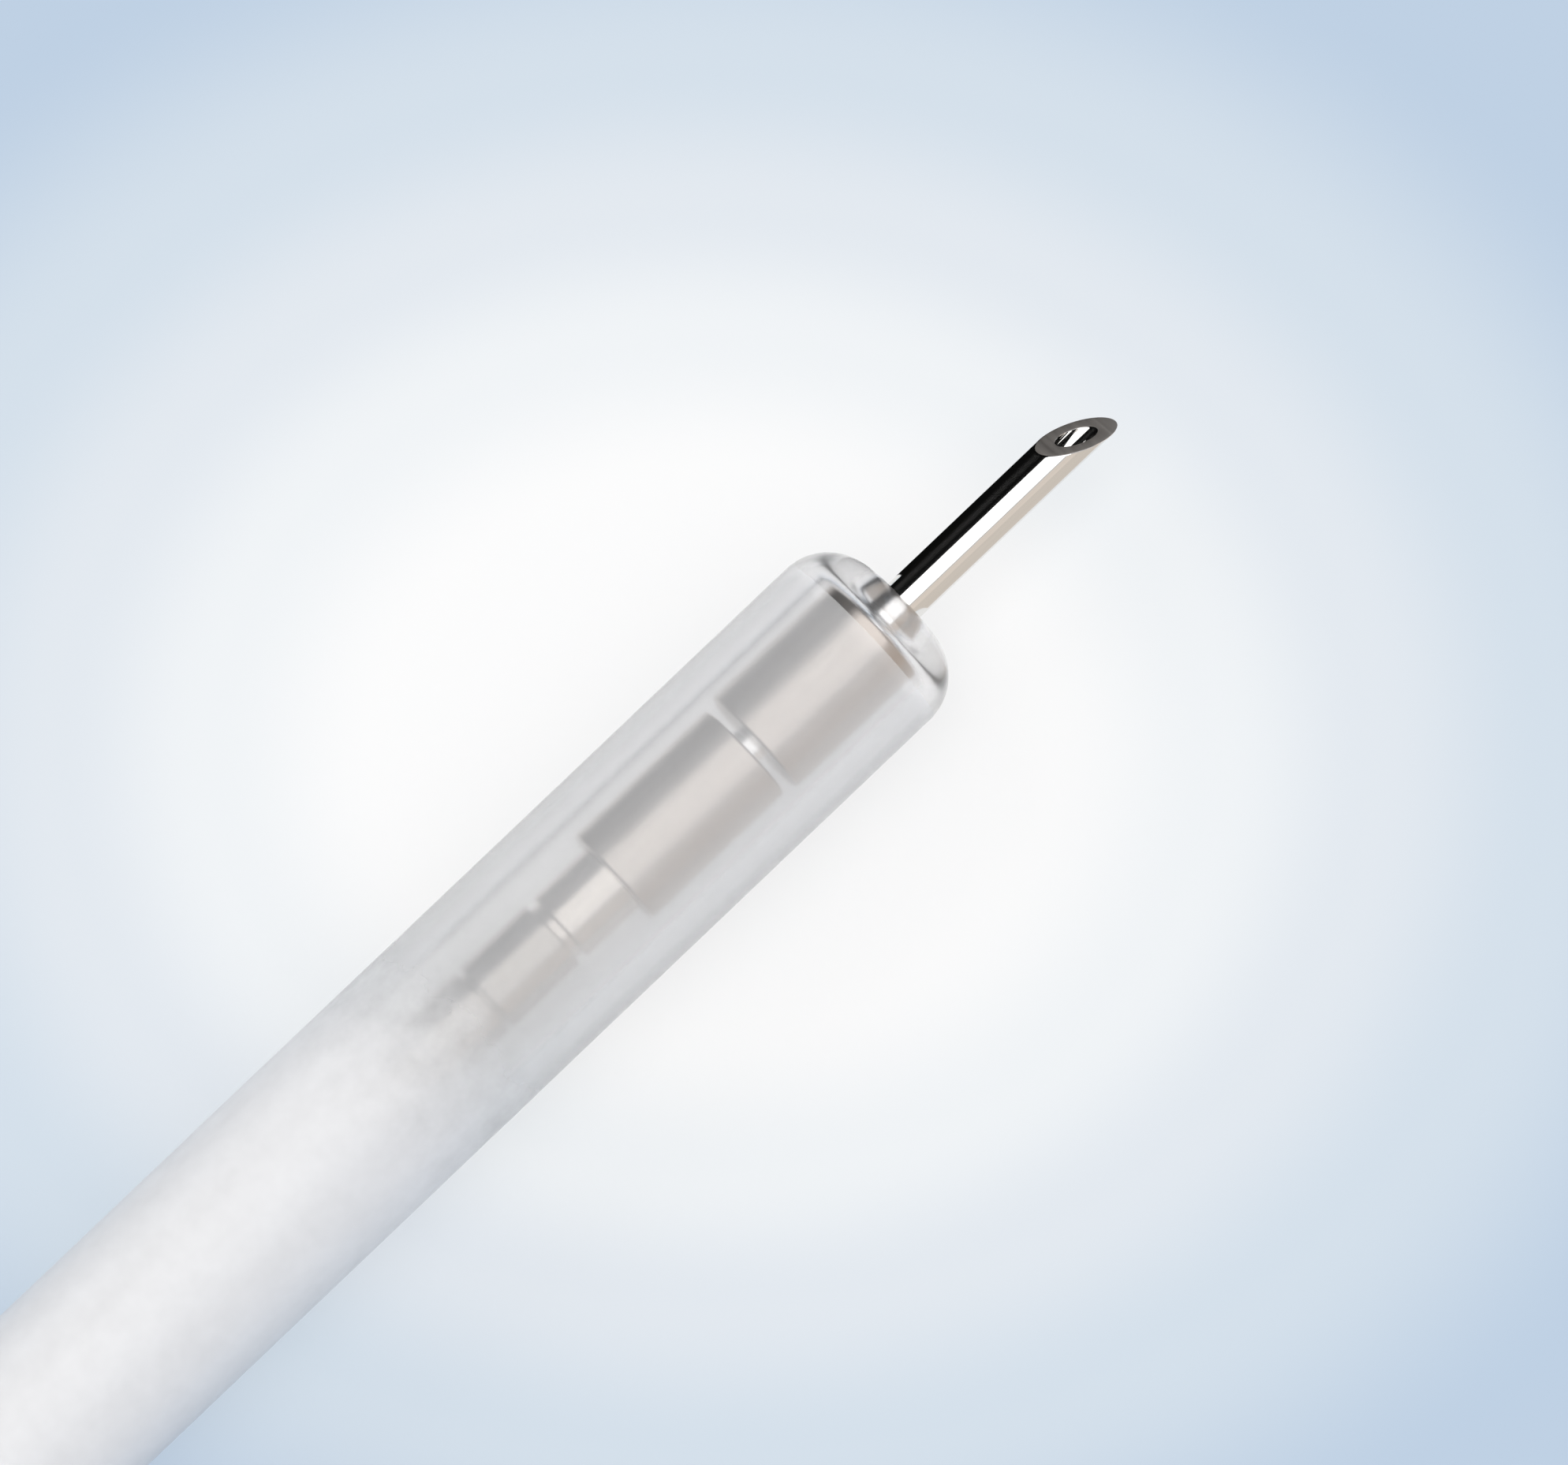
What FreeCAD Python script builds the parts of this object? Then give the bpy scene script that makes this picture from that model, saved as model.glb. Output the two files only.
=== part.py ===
# Endoscopic injection needle at real size, in millimetres.
# Pushing the plunger of the handle slides a long inner tube through a flexible sheath, and
# the bevelled cannula on the tube's far end comes out of the sheath's rounded nose.
# +X runs along the handle towards its nose, +Z is up, and the origin lies on the table
# under the middle of the handle. The needle is out, and the spare sheath lies in a coil.

import FreeCAD, Part
import math
import os

import Sketcher

SIZES = {
    # Sheath and its rounded nose
    "sheath_od": 2.3,
    "sheath_bore": 1.6,
    "nose_radius": 0.67,
    "nose_hole": 0.78,
    "nose_wall": 0.42,
    "tip_len": 28.0,
    # Cannula
    "needle_od": 0.515,
    "needle_bore": 0.26,
    "needle_out": 3.15,
    "needle_tail": 8.63,
    "bevel_angle": 29.0,
    "bevel_clock": 27.0,
    # Sleeves on the cannula, from the nose backwards
    "collar_od": 1.34,
    "collar_len": 1.81,
    "collar_seat_gap": 0.02,
    "sleeve_gap": 0.145,
    "crimp_od": 1.24,
    "crimp_len": 2.0,
    "adapter_od": 0.87,
    "adapter_groove_depth": 0.07,
    "land_1_len": 0.8,
    "groove_1_len": 0.12,
    "land_2_len": 1.0,
    "groove_2_len": 0.06,
    "land_3_len": 0.85,
    "adapter_tail_od": 0.8,
    "adapter_tail_len": 1.12,
    "bond_gap": 0.01,
    # Inner tube that carries the cannula
    "tube_od": 1.3,
    "tube_bore": 0.89,
    "tube_front_len": 13.5,
    # Handle barrel and its finger flange
    "barrel_od": 14.0,
    "barrel_len": 60.0,
    "barrel_bore": 9.0,
    "barrel_front_wall": 14.0,
    "spigot_od": 11.0,
    "spigot_len": 7.0,
    "neck_od": 10.6,
    "neck_len": 6.0,
    "waist_depth": 0.9,
    "waist_start": 15.0,
    "waist_slope_len": 10.0,
    "waist_flat_len": 12.0,
    "grip_start": 2.0,
    "grip_slot": 1.0,
    "grip_depth": 0.6,
    "grip_pitch": 2.4,
    "grip_count": 5,
    "flange_wide": 38.0,
    "flange_high": 15.0,
    "flange_thick": 3.2,
    "flange_back": 4.0,
    "edge_round": 1.0,
    # Nose cap, crimped sheath ferrule and bending sleeve
    "cap_len": 20.0,
    "cap_straight": 7.0,
    "cap_front_od": 8.6,
    "cap_knee_share": 0.4,
    "cap_knee_height": 0.8,
    "cap_brow_share": 0.75,
    "cap_brow_height": 0.42,
    "cap_flute_radius": 2.6,
    "cap_flute_depth": 0.7,
    "cap_flutes": 9,
    "ferrule_od": 3.2,
    "ferrule_len": 6.0,
    "ferrule_rim_od": 5.5,
    "ferrule_rim": 1.0,
    "boot_rim_od": 8.4,
    "boot_rim": 1.5,
    "boot_od": 5.2,
    "boot_tip_od": 3.3,
    "boot_plain_len": 12.5,
    "boot_taper_len": 23.0,
    "boot_rings": 7,
    "boot_slot_depth": 0.42,
    # Plunger, its seal and its tubes
    "stroke": 8.0,
    "piston_len": 8.0,
    "piston_seat_gap": 0.1,
    "rod_od": 7.0,
    "rod_show": 12.0,
    "seal_section": 1.3,
    "seal_gap": 0.015,
    "seal_land": 3.0,
    "thumb_wide": 28.0,
    "thumb_high": 13.6,
    "thumb_thick": 3.0,
    "mark_slot": 0.5,
    "mark_depth": 0.3,
    "mark_pitch": 2.0,
    "mark_count": 4,
    "guide_od": 1.8,
    "guide_back": 46.0,
    "guide_short": 1.0,
    "tube_reach": 20.0,
    "running_gap": 0.05,
    "loose_gap": 0.15,
    # Rear bush, collet and turning lock collar
    "bush_rim_od": 10.2,
    "bush_rim": 0.8,
    "collet_len": 2.1,
    "collet_big_od": 9.6,
    "collet_small_od": 8.4,
    "collet_slit": 0.9,
    "lock_od": 13.6,
    "lock_len": 10.0,
    "lock_wall": 1.0,
    "lock_flute_radius": 0.9,
    "lock_flute_depth": 0.45,
    "lock_flutes": 18,
    # Syringe hub with its 6 % taper socket
    "hub_od": 6.6,
    "hub_len": 10.0,
    "hub_foot_od": 8.6,
    "hub_foot": 1.4,
    "hub_spigot_od": 4.0,
    "hub_spigot_len": 8.0,
    "socket_mouth": 4.27,
    "socket_len": 7.5,
    "socket_taper": 0.06,
    "flow_bore": 1.6,
    "lug_od": 7.83,
    "lug_thick": 1.3,
    "lug_wide": 3.2,
    # Coil of the spare sheath
    "coil_inner_turn": 11.5,
    "coil_columns": 4,
    "coil_rows": 4,
    "coil_edge_round": 1.15,
    "tip_run": 26.0,
    "tip_run_end": 8.0,
    "tip_shift": 2.0,
}

# Sheath from the handle to the top turn of the coil: its last point is where it joins the turn
HANDLE_ROUTE = [
    (70.0, 0.0, 7.5),
    (79.0, 0.0, 7.5),
    (88.3, -3.8, 7.1),
    (95.2, -11.0, 7.0),
    (99.0, -20.2, 7.4),
    (99.0, -29.7, 8.05),
]
ARC_SHARE = 0.45
CUT_REACH = 1.0
TOLERANCE = 1e-4

doc = FreeCAD.newDocument("injection_needle")
sheet = doc.addObject("Spreadsheet::Sheet", "Sizes")
for row, (alias, number) in enumerate(SIZES.items(), start=1):
    sheet.set(f"A{row}", alias)
    sheet.set(f"B{row}", str(number))
    sheet.setAlias(f"B{row}", alias)
doc.recompute()

# Places along the handle, measured from the barrel's front face
HANDLE_Z = "Sizes.flange_high / 2"
EXIT_X = (
    "(Sizes.spigot_len + Sizes.ferrule_rim + Sizes.boot_rim"
    " + Sizes.boot_plain_len + Sizes.boot_taper_len)"
)
HUB_REAR_X = (
    "(-Sizes.barrel_len - Sizes.lock_len - Sizes.rod_show - Sizes.thumb_thick - Sizes.hub_len)"
)
HANDLE_X = f"-({EXIT_X} + {HUB_REAR_X}) / 2"
NECK_REAR_X = "(-Sizes.barrel_len - Sizes.neck_len)"
LOCK_REAR_X = "(-Sizes.barrel_len - Sizes.lock_len)"
THUMB_FRONT_X = "(-Sizes.barrel_len - Sizes.lock_len - Sizes.rod_show)"
THUMB_REAR_X = f"({THUMB_FRONT_X} - Sizes.thumb_thick)"
PISTON_FRONT_X = "(-Sizes.barrel_front_wall - Sizes.piston_seat_gap)"
PISTON_REAR_X = f"({PISTON_FRONT_X} - Sizes.piston_len)"
BUSH_FRONT_X = f"({PISTON_REAR_X} - Sizes.stroke - Sizes.piston_seat_gap)"
SHEATH_ROOT_X = "(Sizes.spigot_len - Sizes.ferrule_len)"
TUBE_REAR_X = "(-Sizes.guide_back)"

# Places along the needle, measured backwards from the sheath's front face
COLLAR_FRONT_X = "(-Sizes.nose_wall - Sizes.collar_seat_gap)"
COLLAR_REAR_X = f"({COLLAR_FRONT_X} - Sizes.collar_len)"
CRIMP_FRONT_X = f"({COLLAR_REAR_X} - Sizes.sleeve_gap)"
CRIMP_REAR_X = f"({CRIMP_FRONT_X} - Sizes.crimp_len)"
GROOVE_1_X = f"({CRIMP_REAR_X} - Sizes.land_1_len)"
LAND_2_X = f"({GROOVE_1_X} - Sizes.groove_1_len)"
GROOVE_2_X = f"({LAND_2_X} - Sizes.land_2_len)"
LAND_3_X = f"({GROOVE_2_X} - Sizes.groove_2_len)"
TAIL_X = f"({LAND_3_X} - Sizes.land_3_len)"
ADAPTER_REAR_X = f"({TAIL_X} - Sizes.adapter_tail_len)"


def size(alias):
    """Read one size from the sheet."""
    return float(sheet.get(alias))


def new_body(name):
    """Start a sub-part whose label names its file."""
    body = doc.addObject("PartDesign::Body", name)
    body.Label = name
    return body


def new_sketch(body, name, role="XY_Plane", along=None):
    """Lay a sketch on one of the body's own planes, moved along the plane's normal."""
    sketch = body.newObject("Sketcher::SketchObject", f"{body.Name}_{name}")
    plane = next(item for item in body.Origin.OriginFeatures if item.Role == role)
    sketch.AttachmentSupport = (plane, [""])
    sketch.MapMode = "FlatFace"
    if along is not None:
        sketch.setExpression("AttachmentOffset.Base.z", along)
    return sketch


def hold_point(sketch, geometry, position, across, up):
    """Tie one point of a sketch to two expressions."""
    for kind, formula in (("DistanceX", across), ("DistanceY", up)):
        number = float(sketch.evalExpression(formula))
        constraint = Sketcher.Constraint(kind, -1, 1, geometry, position, number)
        index = sketch.addConstraint(constraint)
        sketch.setExpression(f"Constraints[{index}]", formula)


def draw_outline(sketch, corners):
    """Draw a closed outline of straight lines through corners given as expressions."""
    places = [
        FreeCAD.Vector(
            float(sketch.evalExpression(across)), float(sketch.evalExpression(up)), 0
        )
        for across, up in corners
    ]
    count = len(places)
    for index in range(count):
        line = Part.LineSegment(places[index], places[(index + 1) % count])
        sketch.addGeometry(line, False)
    for index in range(count):
        joined = Sketcher.Constraint("Coincident", index, 2, (index + 1) % count, 1)
        sketch.addConstraint(joined)
    for index, (across, up) in enumerate(corners):
        hold_point(sketch, index, 1, across, up)


def draw_disc(sketch, across, up, radius):
    """Draw a circle whose centre and radius are expressions."""
    centre = FreeCAD.Vector(
        float(sketch.evalExpression(across)), float(sketch.evalExpression(up)), 0
    )
    number = float(sketch.evalExpression(radius))
    index = sketch.addGeometry(Part.Circle(centre, FreeCAD.Vector(0, 0, 1), number), False)
    hold_point(sketch, index, 3, across, up)
    tied = sketch.addConstraint(Sketcher.Constraint("Radius", index, number))
    sketch.setExpression(f"Constraints[{tied}]", radius)


def spin(body, name, corners, cut=False):
    """Turn an outline of (x, radius) corners about the body's X axis, to add or to cut."""
    sketch = new_sketch(body, name)
    draw_outline(sketch, corners)
    kind = "PartDesign::Groove" if cut else "PartDesign::Revolution"
    feature = body.newObject(kind, f"{body.Name}_{name}_turned")
    feature.Profile = sketch
    feature.ReferenceAxis = (sketch, ["H_Axis"])
    feature.Angle = 360
    return feature


def spin_disc(body, name, along, up, radius):
    """Turn a disc about the body's X axis into a ring."""
    sketch = new_sketch(body, name)
    draw_disc(sketch, along, up, radius)
    feature = body.newObject("PartDesign::Revolution", f"{body.Name}_{name}_turned")
    feature.Profile = sketch
    feature.ReferenceAxis = (sketch, ["H_Axis"])
    feature.Angle = 360
    return feature


def ring_slots(start, slot, depth, pitch, count, radius):
    """List the outline corners of a row of ring slots that runs towards minus X."""
    corners = []
    for index in range(count):
        front = f"({start} - {pitch} * {index})"
        rear = f"({front} - {slot})"
        bottom = f"({radius} - {depth})"
        corners += [(front, radius), (front, bottom), (rear, bottom), (rear, radius)]
    return corners


def flutes(body, name, front, rear, outer, depth, radius, count):
    """Cut round-bottomed flutes from front to rear, evenly about the body's X axis."""
    sketch = new_sketch(body, name, "YZ_Plane", f"{front} + {CUT_REACH}")
    draw_disc(sketch, "0", f"{outer} / 2 + {radius} - {depth}", radius)
    pocket = body.newObject("PartDesign::Pocket", f"{body.Name}_{name}_cut")
    pocket.Profile = sketch
    pocket.setExpression("Length", f"{front} - {rear} + {CUT_REACH} * 2")
    pattern = body.newObject("PartDesign::PolarPattern", f"{body.Name}_{name}_round")
    pattern.Originals = [pocket]
    pattern.Axis = (sketch, ["N_Axis"])
    pattern.Angle = 360
    pattern.setExpression("Occurrences", count)
    body.Tip = pattern
    return pattern


def pad_stadium(body, name, front, wide, high, thick):
    """Add a plate across the axis, with straight long sides and round ends, behind front."""
    sketch = new_sketch(body, name, "YZ_Plane", front)
    half_line = f"({wide} - {high}) / 2"
    half_high = f"({high}) / 2"
    reach = float(sketch.evalExpression(half_line))
    radius = float(sketch.evalExpression(half_high))
    normal = FreeCAD.Vector(0, 0, 1)
    ends = [(reach, -math.pi / 2, math.pi / 2), (-reach, math.pi / 2, 3 * math.pi / 2)]
    for middle, first, last in ends:
        circle = Part.Circle(FreeCAD.Vector(middle, 0, 0), normal, radius)
        sketch.addGeometry(Part.ArcOfCircle(circle, first, last), False)
    top = (FreeCAD.Vector(reach, radius, 0), FreeCAD.Vector(-reach, radius, 0))
    bottom = (FreeCAD.Vector(-reach, -radius, 0), FreeCAD.Vector(reach, -radius, 0))
    sketch.addGeometry(Part.LineSegment(*top), False)
    sketch.addGeometry(Part.LineSegment(*bottom), False)
    right_end, left_end, top_side, bottom_side = range(4)
    ring = (right_end, top_side, left_end, bottom_side)
    for index, first in enumerate(ring):
        second = ring[(index + 1) % len(ring)]
        sketch.addConstraint(Sketcher.Constraint("Tangent", first, 2, second, 1))
    hold_point(sketch, 0, 3, half_line, "0")
    hold_point(sketch, 1, 3, f"-({half_line})", "0")
    tied = sketch.addConstraint(Sketcher.Constraint("Radius", 0, radius))
    sketch.setExpression(f"Constraints[{tied}]", half_high)
    pad = body.newObject("PartDesign::Pad", f"{body.Name}_{name}_pad")
    pad.Profile = sketch
    pad.Reversed = True
    pad.setExpression("Length", thick)
    return pad


def round_edges(body, name, radius, wanted):
    """Fillet the edges of the body so far that the test picks."""
    doc.recompute()
    base = body.Tip
    names = [f"Edge{index}" for index, edge in enumerate(base.Shape.Edges, 1) if wanted(edge)]
    fillet = body.newObject("PartDesign::Fillet", f"{body.Name}_{name}")
    fillet.Base = (base, names)
    fillet.setExpression("Radius", radius)
    return fillet


def is_round(edge):
    """Pick every round edge."""
    return isinstance(edge.Curve, Part.Circle)


def circle_at(along, radius):
    """Make a test for the round edges at one place along X with one radius."""

    def wanted(edge):
        curve = edge.Curve
        if not isinstance(curve, Part.Circle):
            return False
        placed = abs(curve.Center.x - along) < TOLERANCE
        return placed and abs(curve.Radius - radius) < TOLERANCE

    return wanted


def plate_rim(front, thick, inside):
    """Make a test for the outer edges of a plate across X, outside a given radius."""

    def wanted(edge):
        box = edge.BoundBox
        if box.XLength > TOLERANCE:
            return False
        on_face = min(abs(box.XMin - front), abs(box.XMin - front + thick)) < TOLERANCE
        middle = edge.CenterOfMass
        return on_face and math.hypot(middle.y, middle.z) > inside

    return wanted


def place_on_handle(body):
    """Move a body from the barrel's front face to its place on the handle's axis."""
    body.setExpression("Placement.Base.x", HANDLE_X)
    body.setExpression("Placement.Base.z", HANDLE_Z)


def coil_middle():
    """Give the coil's centre, which the last point of the handle's route is beside."""
    outer_turn = size("coil_inner_turn") + (size("coil_columns") - 1) * size("sheath_od")
    joined = HANDLE_ROUTE[-1]
    return joined[0] - outer_turn, joined[1], outer_turn


def place_on_tip(body, clock=0.0):
    """Turn a body to point along minus X and put it at the sheath's front face."""
    middle_x, middle_y, outer_turn = coil_middle()
    front_x = middle_x - size("tip_run") - size("tip_len")
    tip_y = middle_y - outer_turn - size("tip_shift")
    turned = FreeCAD.Rotation(FreeCAD.Vector(0, 0, 1), 180)
    clocked = FreeCAD.Rotation(FreeCAD.Vector(1, 0, 0), -clock)
    place = FreeCAD.Vector(front_x, tip_y, size("sheath_od") / 2)
    body.Placement = FreeCAD.Placement(place, turned * clocked)


def pipe(name, front, rear, outer, inner):
    """Build a straight round tube along X."""
    body = new_body(name)
    spin(
        body,
        "section",
        [(front, inner), (front, outer), (rear, outer), (rear, inner)],
    )
    return body


def build_sheath_tip():
    """Sheath's clear end: bore, inner shoulder at the nose, small front hole, round nose."""
    body = new_body("sheath_tip")
    outer = "Sizes.sheath_od / 2"
    bore = "Sizes.sheath_bore / 2"
    hole = "Sizes.nose_hole / 2"
    spin(
        body,
        "section",
        [
            ("0", hole),
            ("0", outer),
            ("-Sizes.tip_len", outer),
            ("-Sizes.tip_len", bore),
            ("-Sizes.nose_wall", bore),
            ("-Sizes.nose_wall", hole),
        ],
    )
    front_edge = circle_at(0.0, size("sheath_od") / 2)
    round_edges(body, "nose", "Sizes.nose_radius", front_edge)
    place_on_tip(body)


def build_needle_cannula():
    """Steel tube ground to one plane bevel, heel upwards before it is clocked."""
    body = pipe(
        "needle_cannula",
        "Sizes.needle_out",
        "-Sizes.needle_tail",
        "Sizes.needle_od / 2",
        "Sizes.needle_bore / 2",
    )
    sketch = new_sketch(body, "bevel", "XZ_Plane")
    slope = "tan(Sizes.bevel_angle * 1 deg)"
    low = f"(-Sizes.needle_od / 2 - {CUT_REACH} * {slope})"
    high = f"(Sizes.needle_od / 2 + {CUT_REACH} * {slope})"
    front = f"(Sizes.needle_out + {CUT_REACH})"
    rear = f"(Sizes.needle_out - Sizes.needle_od / {slope} - {CUT_REACH})"
    draw_outline(sketch, [(front, low), (front, high), (rear, high)])
    pocket = body.newObject("PartDesign::Pocket", "bevel_cut")
    pocket.Profile = sketch
    pocket.Type = "ThroughAll"
    pocket.SideType = "Symmetric"
    place_on_tip(body, size("bevel_clock"))


def build_needle_sleeves():
    """Stop collar and crimp sleeve, bored to sit on the cannula and on the adapter."""
    on_needle = "Sizes.needle_od / 2 + Sizes.bond_gap"
    on_adapter = "Sizes.adapter_od / 2 + Sizes.bond_gap"
    collar = pipe(
        "stop_collar", COLLAR_FRONT_X, COLLAR_REAR_X, "Sizes.collar_od / 2", on_needle
    )
    place_on_tip(collar)
    sleeve = pipe(
        "crimp_sleeve", CRIMP_FRONT_X, CRIMP_REAR_X, "Sizes.crimp_od / 2", on_adapter
    )
    place_on_tip(sleeve)


def build_tube_adapter():
    """Stepped steel adapter: three lands with ring grooves, then a plain tail."""
    body = new_body("tube_adapter")
    inner = "Sizes.needle_od / 2 + Sizes.bond_gap"
    land = "Sizes.adapter_od / 2"
    groove = "Sizes.adapter_od / 2 - Sizes.adapter_groove_depth"
    tail = "Sizes.adapter_tail_od / 2"
    spin(
        body,
        "section",
        [
            (CRIMP_FRONT_X, inner),
            (CRIMP_FRONT_X, land),
            (GROOVE_1_X, land),
            (GROOVE_1_X, groove),
            (LAND_2_X, groove),
            (LAND_2_X, land),
            (GROOVE_2_X, land),
            (GROOVE_2_X, groove),
            (LAND_3_X, groove),
            (LAND_3_X, land),
            (TAIL_X, land),
            (TAIL_X, tail),
            (ADAPTER_REAR_X, tail),
            (ADAPTER_REAR_X, inner),
        ],
    )
    place_on_tip(body)


def build_inner_tube_front():
    """Front stretch of the inner tube, pushed over the adapter's second and third lands."""
    rear = f"({LAND_2_X} - Sizes.tube_front_len)"
    body = pipe(
        "inner_tube_front", LAND_2_X, rear, "Sizes.tube_od / 2", "Sizes.tube_bore / 2"
    )
    place_on_tip(body)


def build_handle_body():
    """Moulded barrel: spigot, waist, grip rings, finger flange, neck and stepped bore."""
    body = new_body("handle_body")
    barrel = "Sizes.barrel_od / 2"
    spigot = "Sizes.spigot_od / 2"
    neck = "Sizes.neck_od / 2"
    grip = ring_slots(
        "-Sizes.grip_start",
        "Sizes.grip_slot",
        "Sizes.grip_depth",
        "Sizes.grip_pitch",
        int(size("grip_count")),
        barrel,
    )
    waist = "(Sizes.barrel_od / 2 - Sizes.waist_depth)"
    waist_front = "(-Sizes.waist_start)"
    waist_rear = "(-Sizes.waist_start - Sizes.waist_slope_len * 2 - Sizes.waist_flat_len)"
    spin(
        body,
        "outside",
        [
            ("Sizes.spigot_len", "0"),
            ("Sizes.spigot_len", spigot),
            ("0", spigot),
            ("0", barrel),
            *grip,
            (waist_front, barrel),
            (f"({waist_front} - Sizes.waist_slope_len)", waist),
            (f"({waist_rear} + Sizes.waist_slope_len)", waist),
            (waist_rear, barrel),
            ("-Sizes.barrel_len", barrel),
            ("-Sizes.barrel_len", neck),
            (NECK_REAR_X, neck),
            (NECK_REAR_X, "0"),
        ],
    )
    flange_front = "(-Sizes.barrel_len + Sizes.flange_back + Sizes.flange_thick)"
    pad_stadium(
        body, "flange", flange_front, "Sizes.flange_wide", "Sizes.flange_high", "Sizes.flange_thick"
    )
    rim = plate_rim(
        -size("barrel_len") + size("flange_back") + size("flange_thick"),
        size("flange_thick"),
        size("barrel_od") / 2 + TOLERANCE,
    )
    round_edges(body, "flange_round", "Sizes.edge_round", rim)
    bore = "Sizes.barrel_bore / 2"
    guide = "Sizes.guide_od / 2 + Sizes.running_gap"
    seat = "Sizes.ferrule_od / 2 + Sizes.running_gap"
    spin(
        body,
        "bores",
        [
            (f"Sizes.spigot_len + {CUT_REACH}", "0"),
            (f"Sizes.spigot_len + {CUT_REACH}", seat),
            (SHEATH_ROOT_X, seat),
            (SHEATH_ROOT_X, guide),
            ("-Sizes.barrel_front_wall", guide),
            ("-Sizes.barrel_front_wall", bore),
            (f"{NECK_REAR_X} - {CUT_REACH}", bore),
            (f"{NECK_REAR_X} - {CUT_REACH}", "0"),
        ],
        cut=True,
    )
    place_on_handle(body)


def build_nose_cap():
    """Cap on the spigot: fluted skirt, rounded cone, shoulder that holds the boot's rim."""
    body = new_body("nose_cap")
    outer = "Sizes.flange_high / 2"
    front = "Sizes.cap_front_od / 2"
    bore = "Sizes.spigot_od / 2 + Sizes.running_gap"
    hole = "Sizes.boot_od / 2 + Sizes.running_gap"
    shoulder = "(Sizes.spigot_len + Sizes.ferrule_rim + Sizes.boot_rim + Sizes.running_gap)"
    slope_len = "(Sizes.cap_len - Sizes.cap_straight)"
    fall = "((Sizes.flange_high - Sizes.cap_front_od) / 2)"
    knee_x = f"(Sizes.cap_straight + {slope_len} * Sizes.cap_knee_share)"
    brow_x = f"(Sizes.cap_straight + {slope_len} * Sizes.cap_brow_share)"
    spin(
        body,
        "section",
        [
            ("0", bore),
            ("0", outer),
            ("Sizes.cap_straight", outer),
            (knee_x, f"({front} + {fall} * Sizes.cap_knee_height)"),
            (brow_x, f"({front} + {fall} * Sizes.cap_brow_height)"),
            ("Sizes.cap_len", front),
            ("Sizes.cap_len", hole),
            (shoulder, hole),
            (shoulder, bore),
        ],
    )
    tip = circle_at(size("cap_len"), size("cap_front_od") / 2)
    round_edges(body, "tip", "Sizes.edge_round", tip)
    flutes(
        body,
        "flute",
        "Sizes.cap_len",
        "0",
        "Sizes.flange_high",
        "Sizes.cap_flute_depth",
        "Sizes.cap_flute_radius",
        "Sizes.cap_flutes",
    )
    place_on_handle(body)


def build_sheath_ferrule():
    """Steel ferrule crimped on the sheath's rear end, with a rim on the spigot's face."""
    body = new_body("sheath_ferrule")
    inner = "Sizes.sheath_od / 2 + Sizes.bond_gap"
    rim_front = "(Sizes.spigot_len + Sizes.ferrule_rim)"
    spin(
        body,
        "section",
        [
            (SHEATH_ROOT_X, inner),
            (SHEATH_ROOT_X, "Sizes.ferrule_od / 2"),
            ("Sizes.spigot_len", "Sizes.ferrule_od / 2"),
            ("Sizes.spigot_len", "Sizes.ferrule_rim_od / 2"),
            (rim_front, "Sizes.ferrule_rim_od / 2"),
            (rim_front, inner),
        ],
    )
    place_on_handle(body)


def build_strain_relief():
    """Bending sleeve: captive rim, plain stem and a taper of rings with slots between."""
    body = new_body("strain_relief")
    inner = "Sizes.sheath_od / 2 + Sizes.bond_gap"
    rear = "(Sizes.spigot_len + Sizes.ferrule_rim)"
    stem = f"({rear} + Sizes.boot_rim)"
    taper = f"({stem} + Sizes.boot_plain_len)"
    corners = [
        (rear, inner),
        (rear, "Sizes.boot_rim_od / 2"),
        (stem, "Sizes.boot_rim_od / 2"),
        (stem, "Sizes.boot_od / 2"),
        (taper, "Sizes.boot_od / 2"),
    ]
    rings = int(size("boot_rings"))
    step = f"(Sizes.boot_taper_len / ({rings} + 0.5))"
    fall = "(Sizes.boot_od - Sizes.boot_tip_od) / 2 / Sizes.boot_taper_len"
    for ring in range(rings):
        slot_rear = f"({taper} + {step} * {ring})"
        slot_front = f"({taper} + {step} * ({ring} + 0.5))"
        ring_front = f"({taper} + {step} * ({ring} + 1))"
        if ring == rings - 1:
            ring_front = EXIT_X
        before = f"(Sizes.boot_od / 2 - {step} * {ring} * {fall})"
        after = f"(Sizes.boot_od / 2 - {step} * ({ring} + 0.5) * {fall})"
        following = f"(Sizes.boot_od / 2 - {step} * ({ring} + 1) * {fall})"
        if ring == rings - 1:
            following = "Sizes.boot_tip_od / 2"
        if ring > 0:
            corners.append((slot_rear, before))
        corners.append((slot_rear, f"{before} - Sizes.boot_slot_depth"))
        corners.append((slot_front, f"{after} - Sizes.boot_slot_depth"))
        corners.append((slot_front, after))
        if ring == rings - 1:
            corners.append((ring_front, following))
    corners.append((EXIT_X, inner))
    spin(body, "section", corners)
    place_on_handle(body)


def build_sheath_root():
    """Rear end of the sheath, from its ferrule through the bending sleeve to the exit."""
    body = pipe(
        "sheath_root", EXIT_X, SHEATH_ROOT_X, "Sizes.sheath_od / 2", "Sizes.sheath_bore / 2"
    )
    place_on_handle(body)


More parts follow.
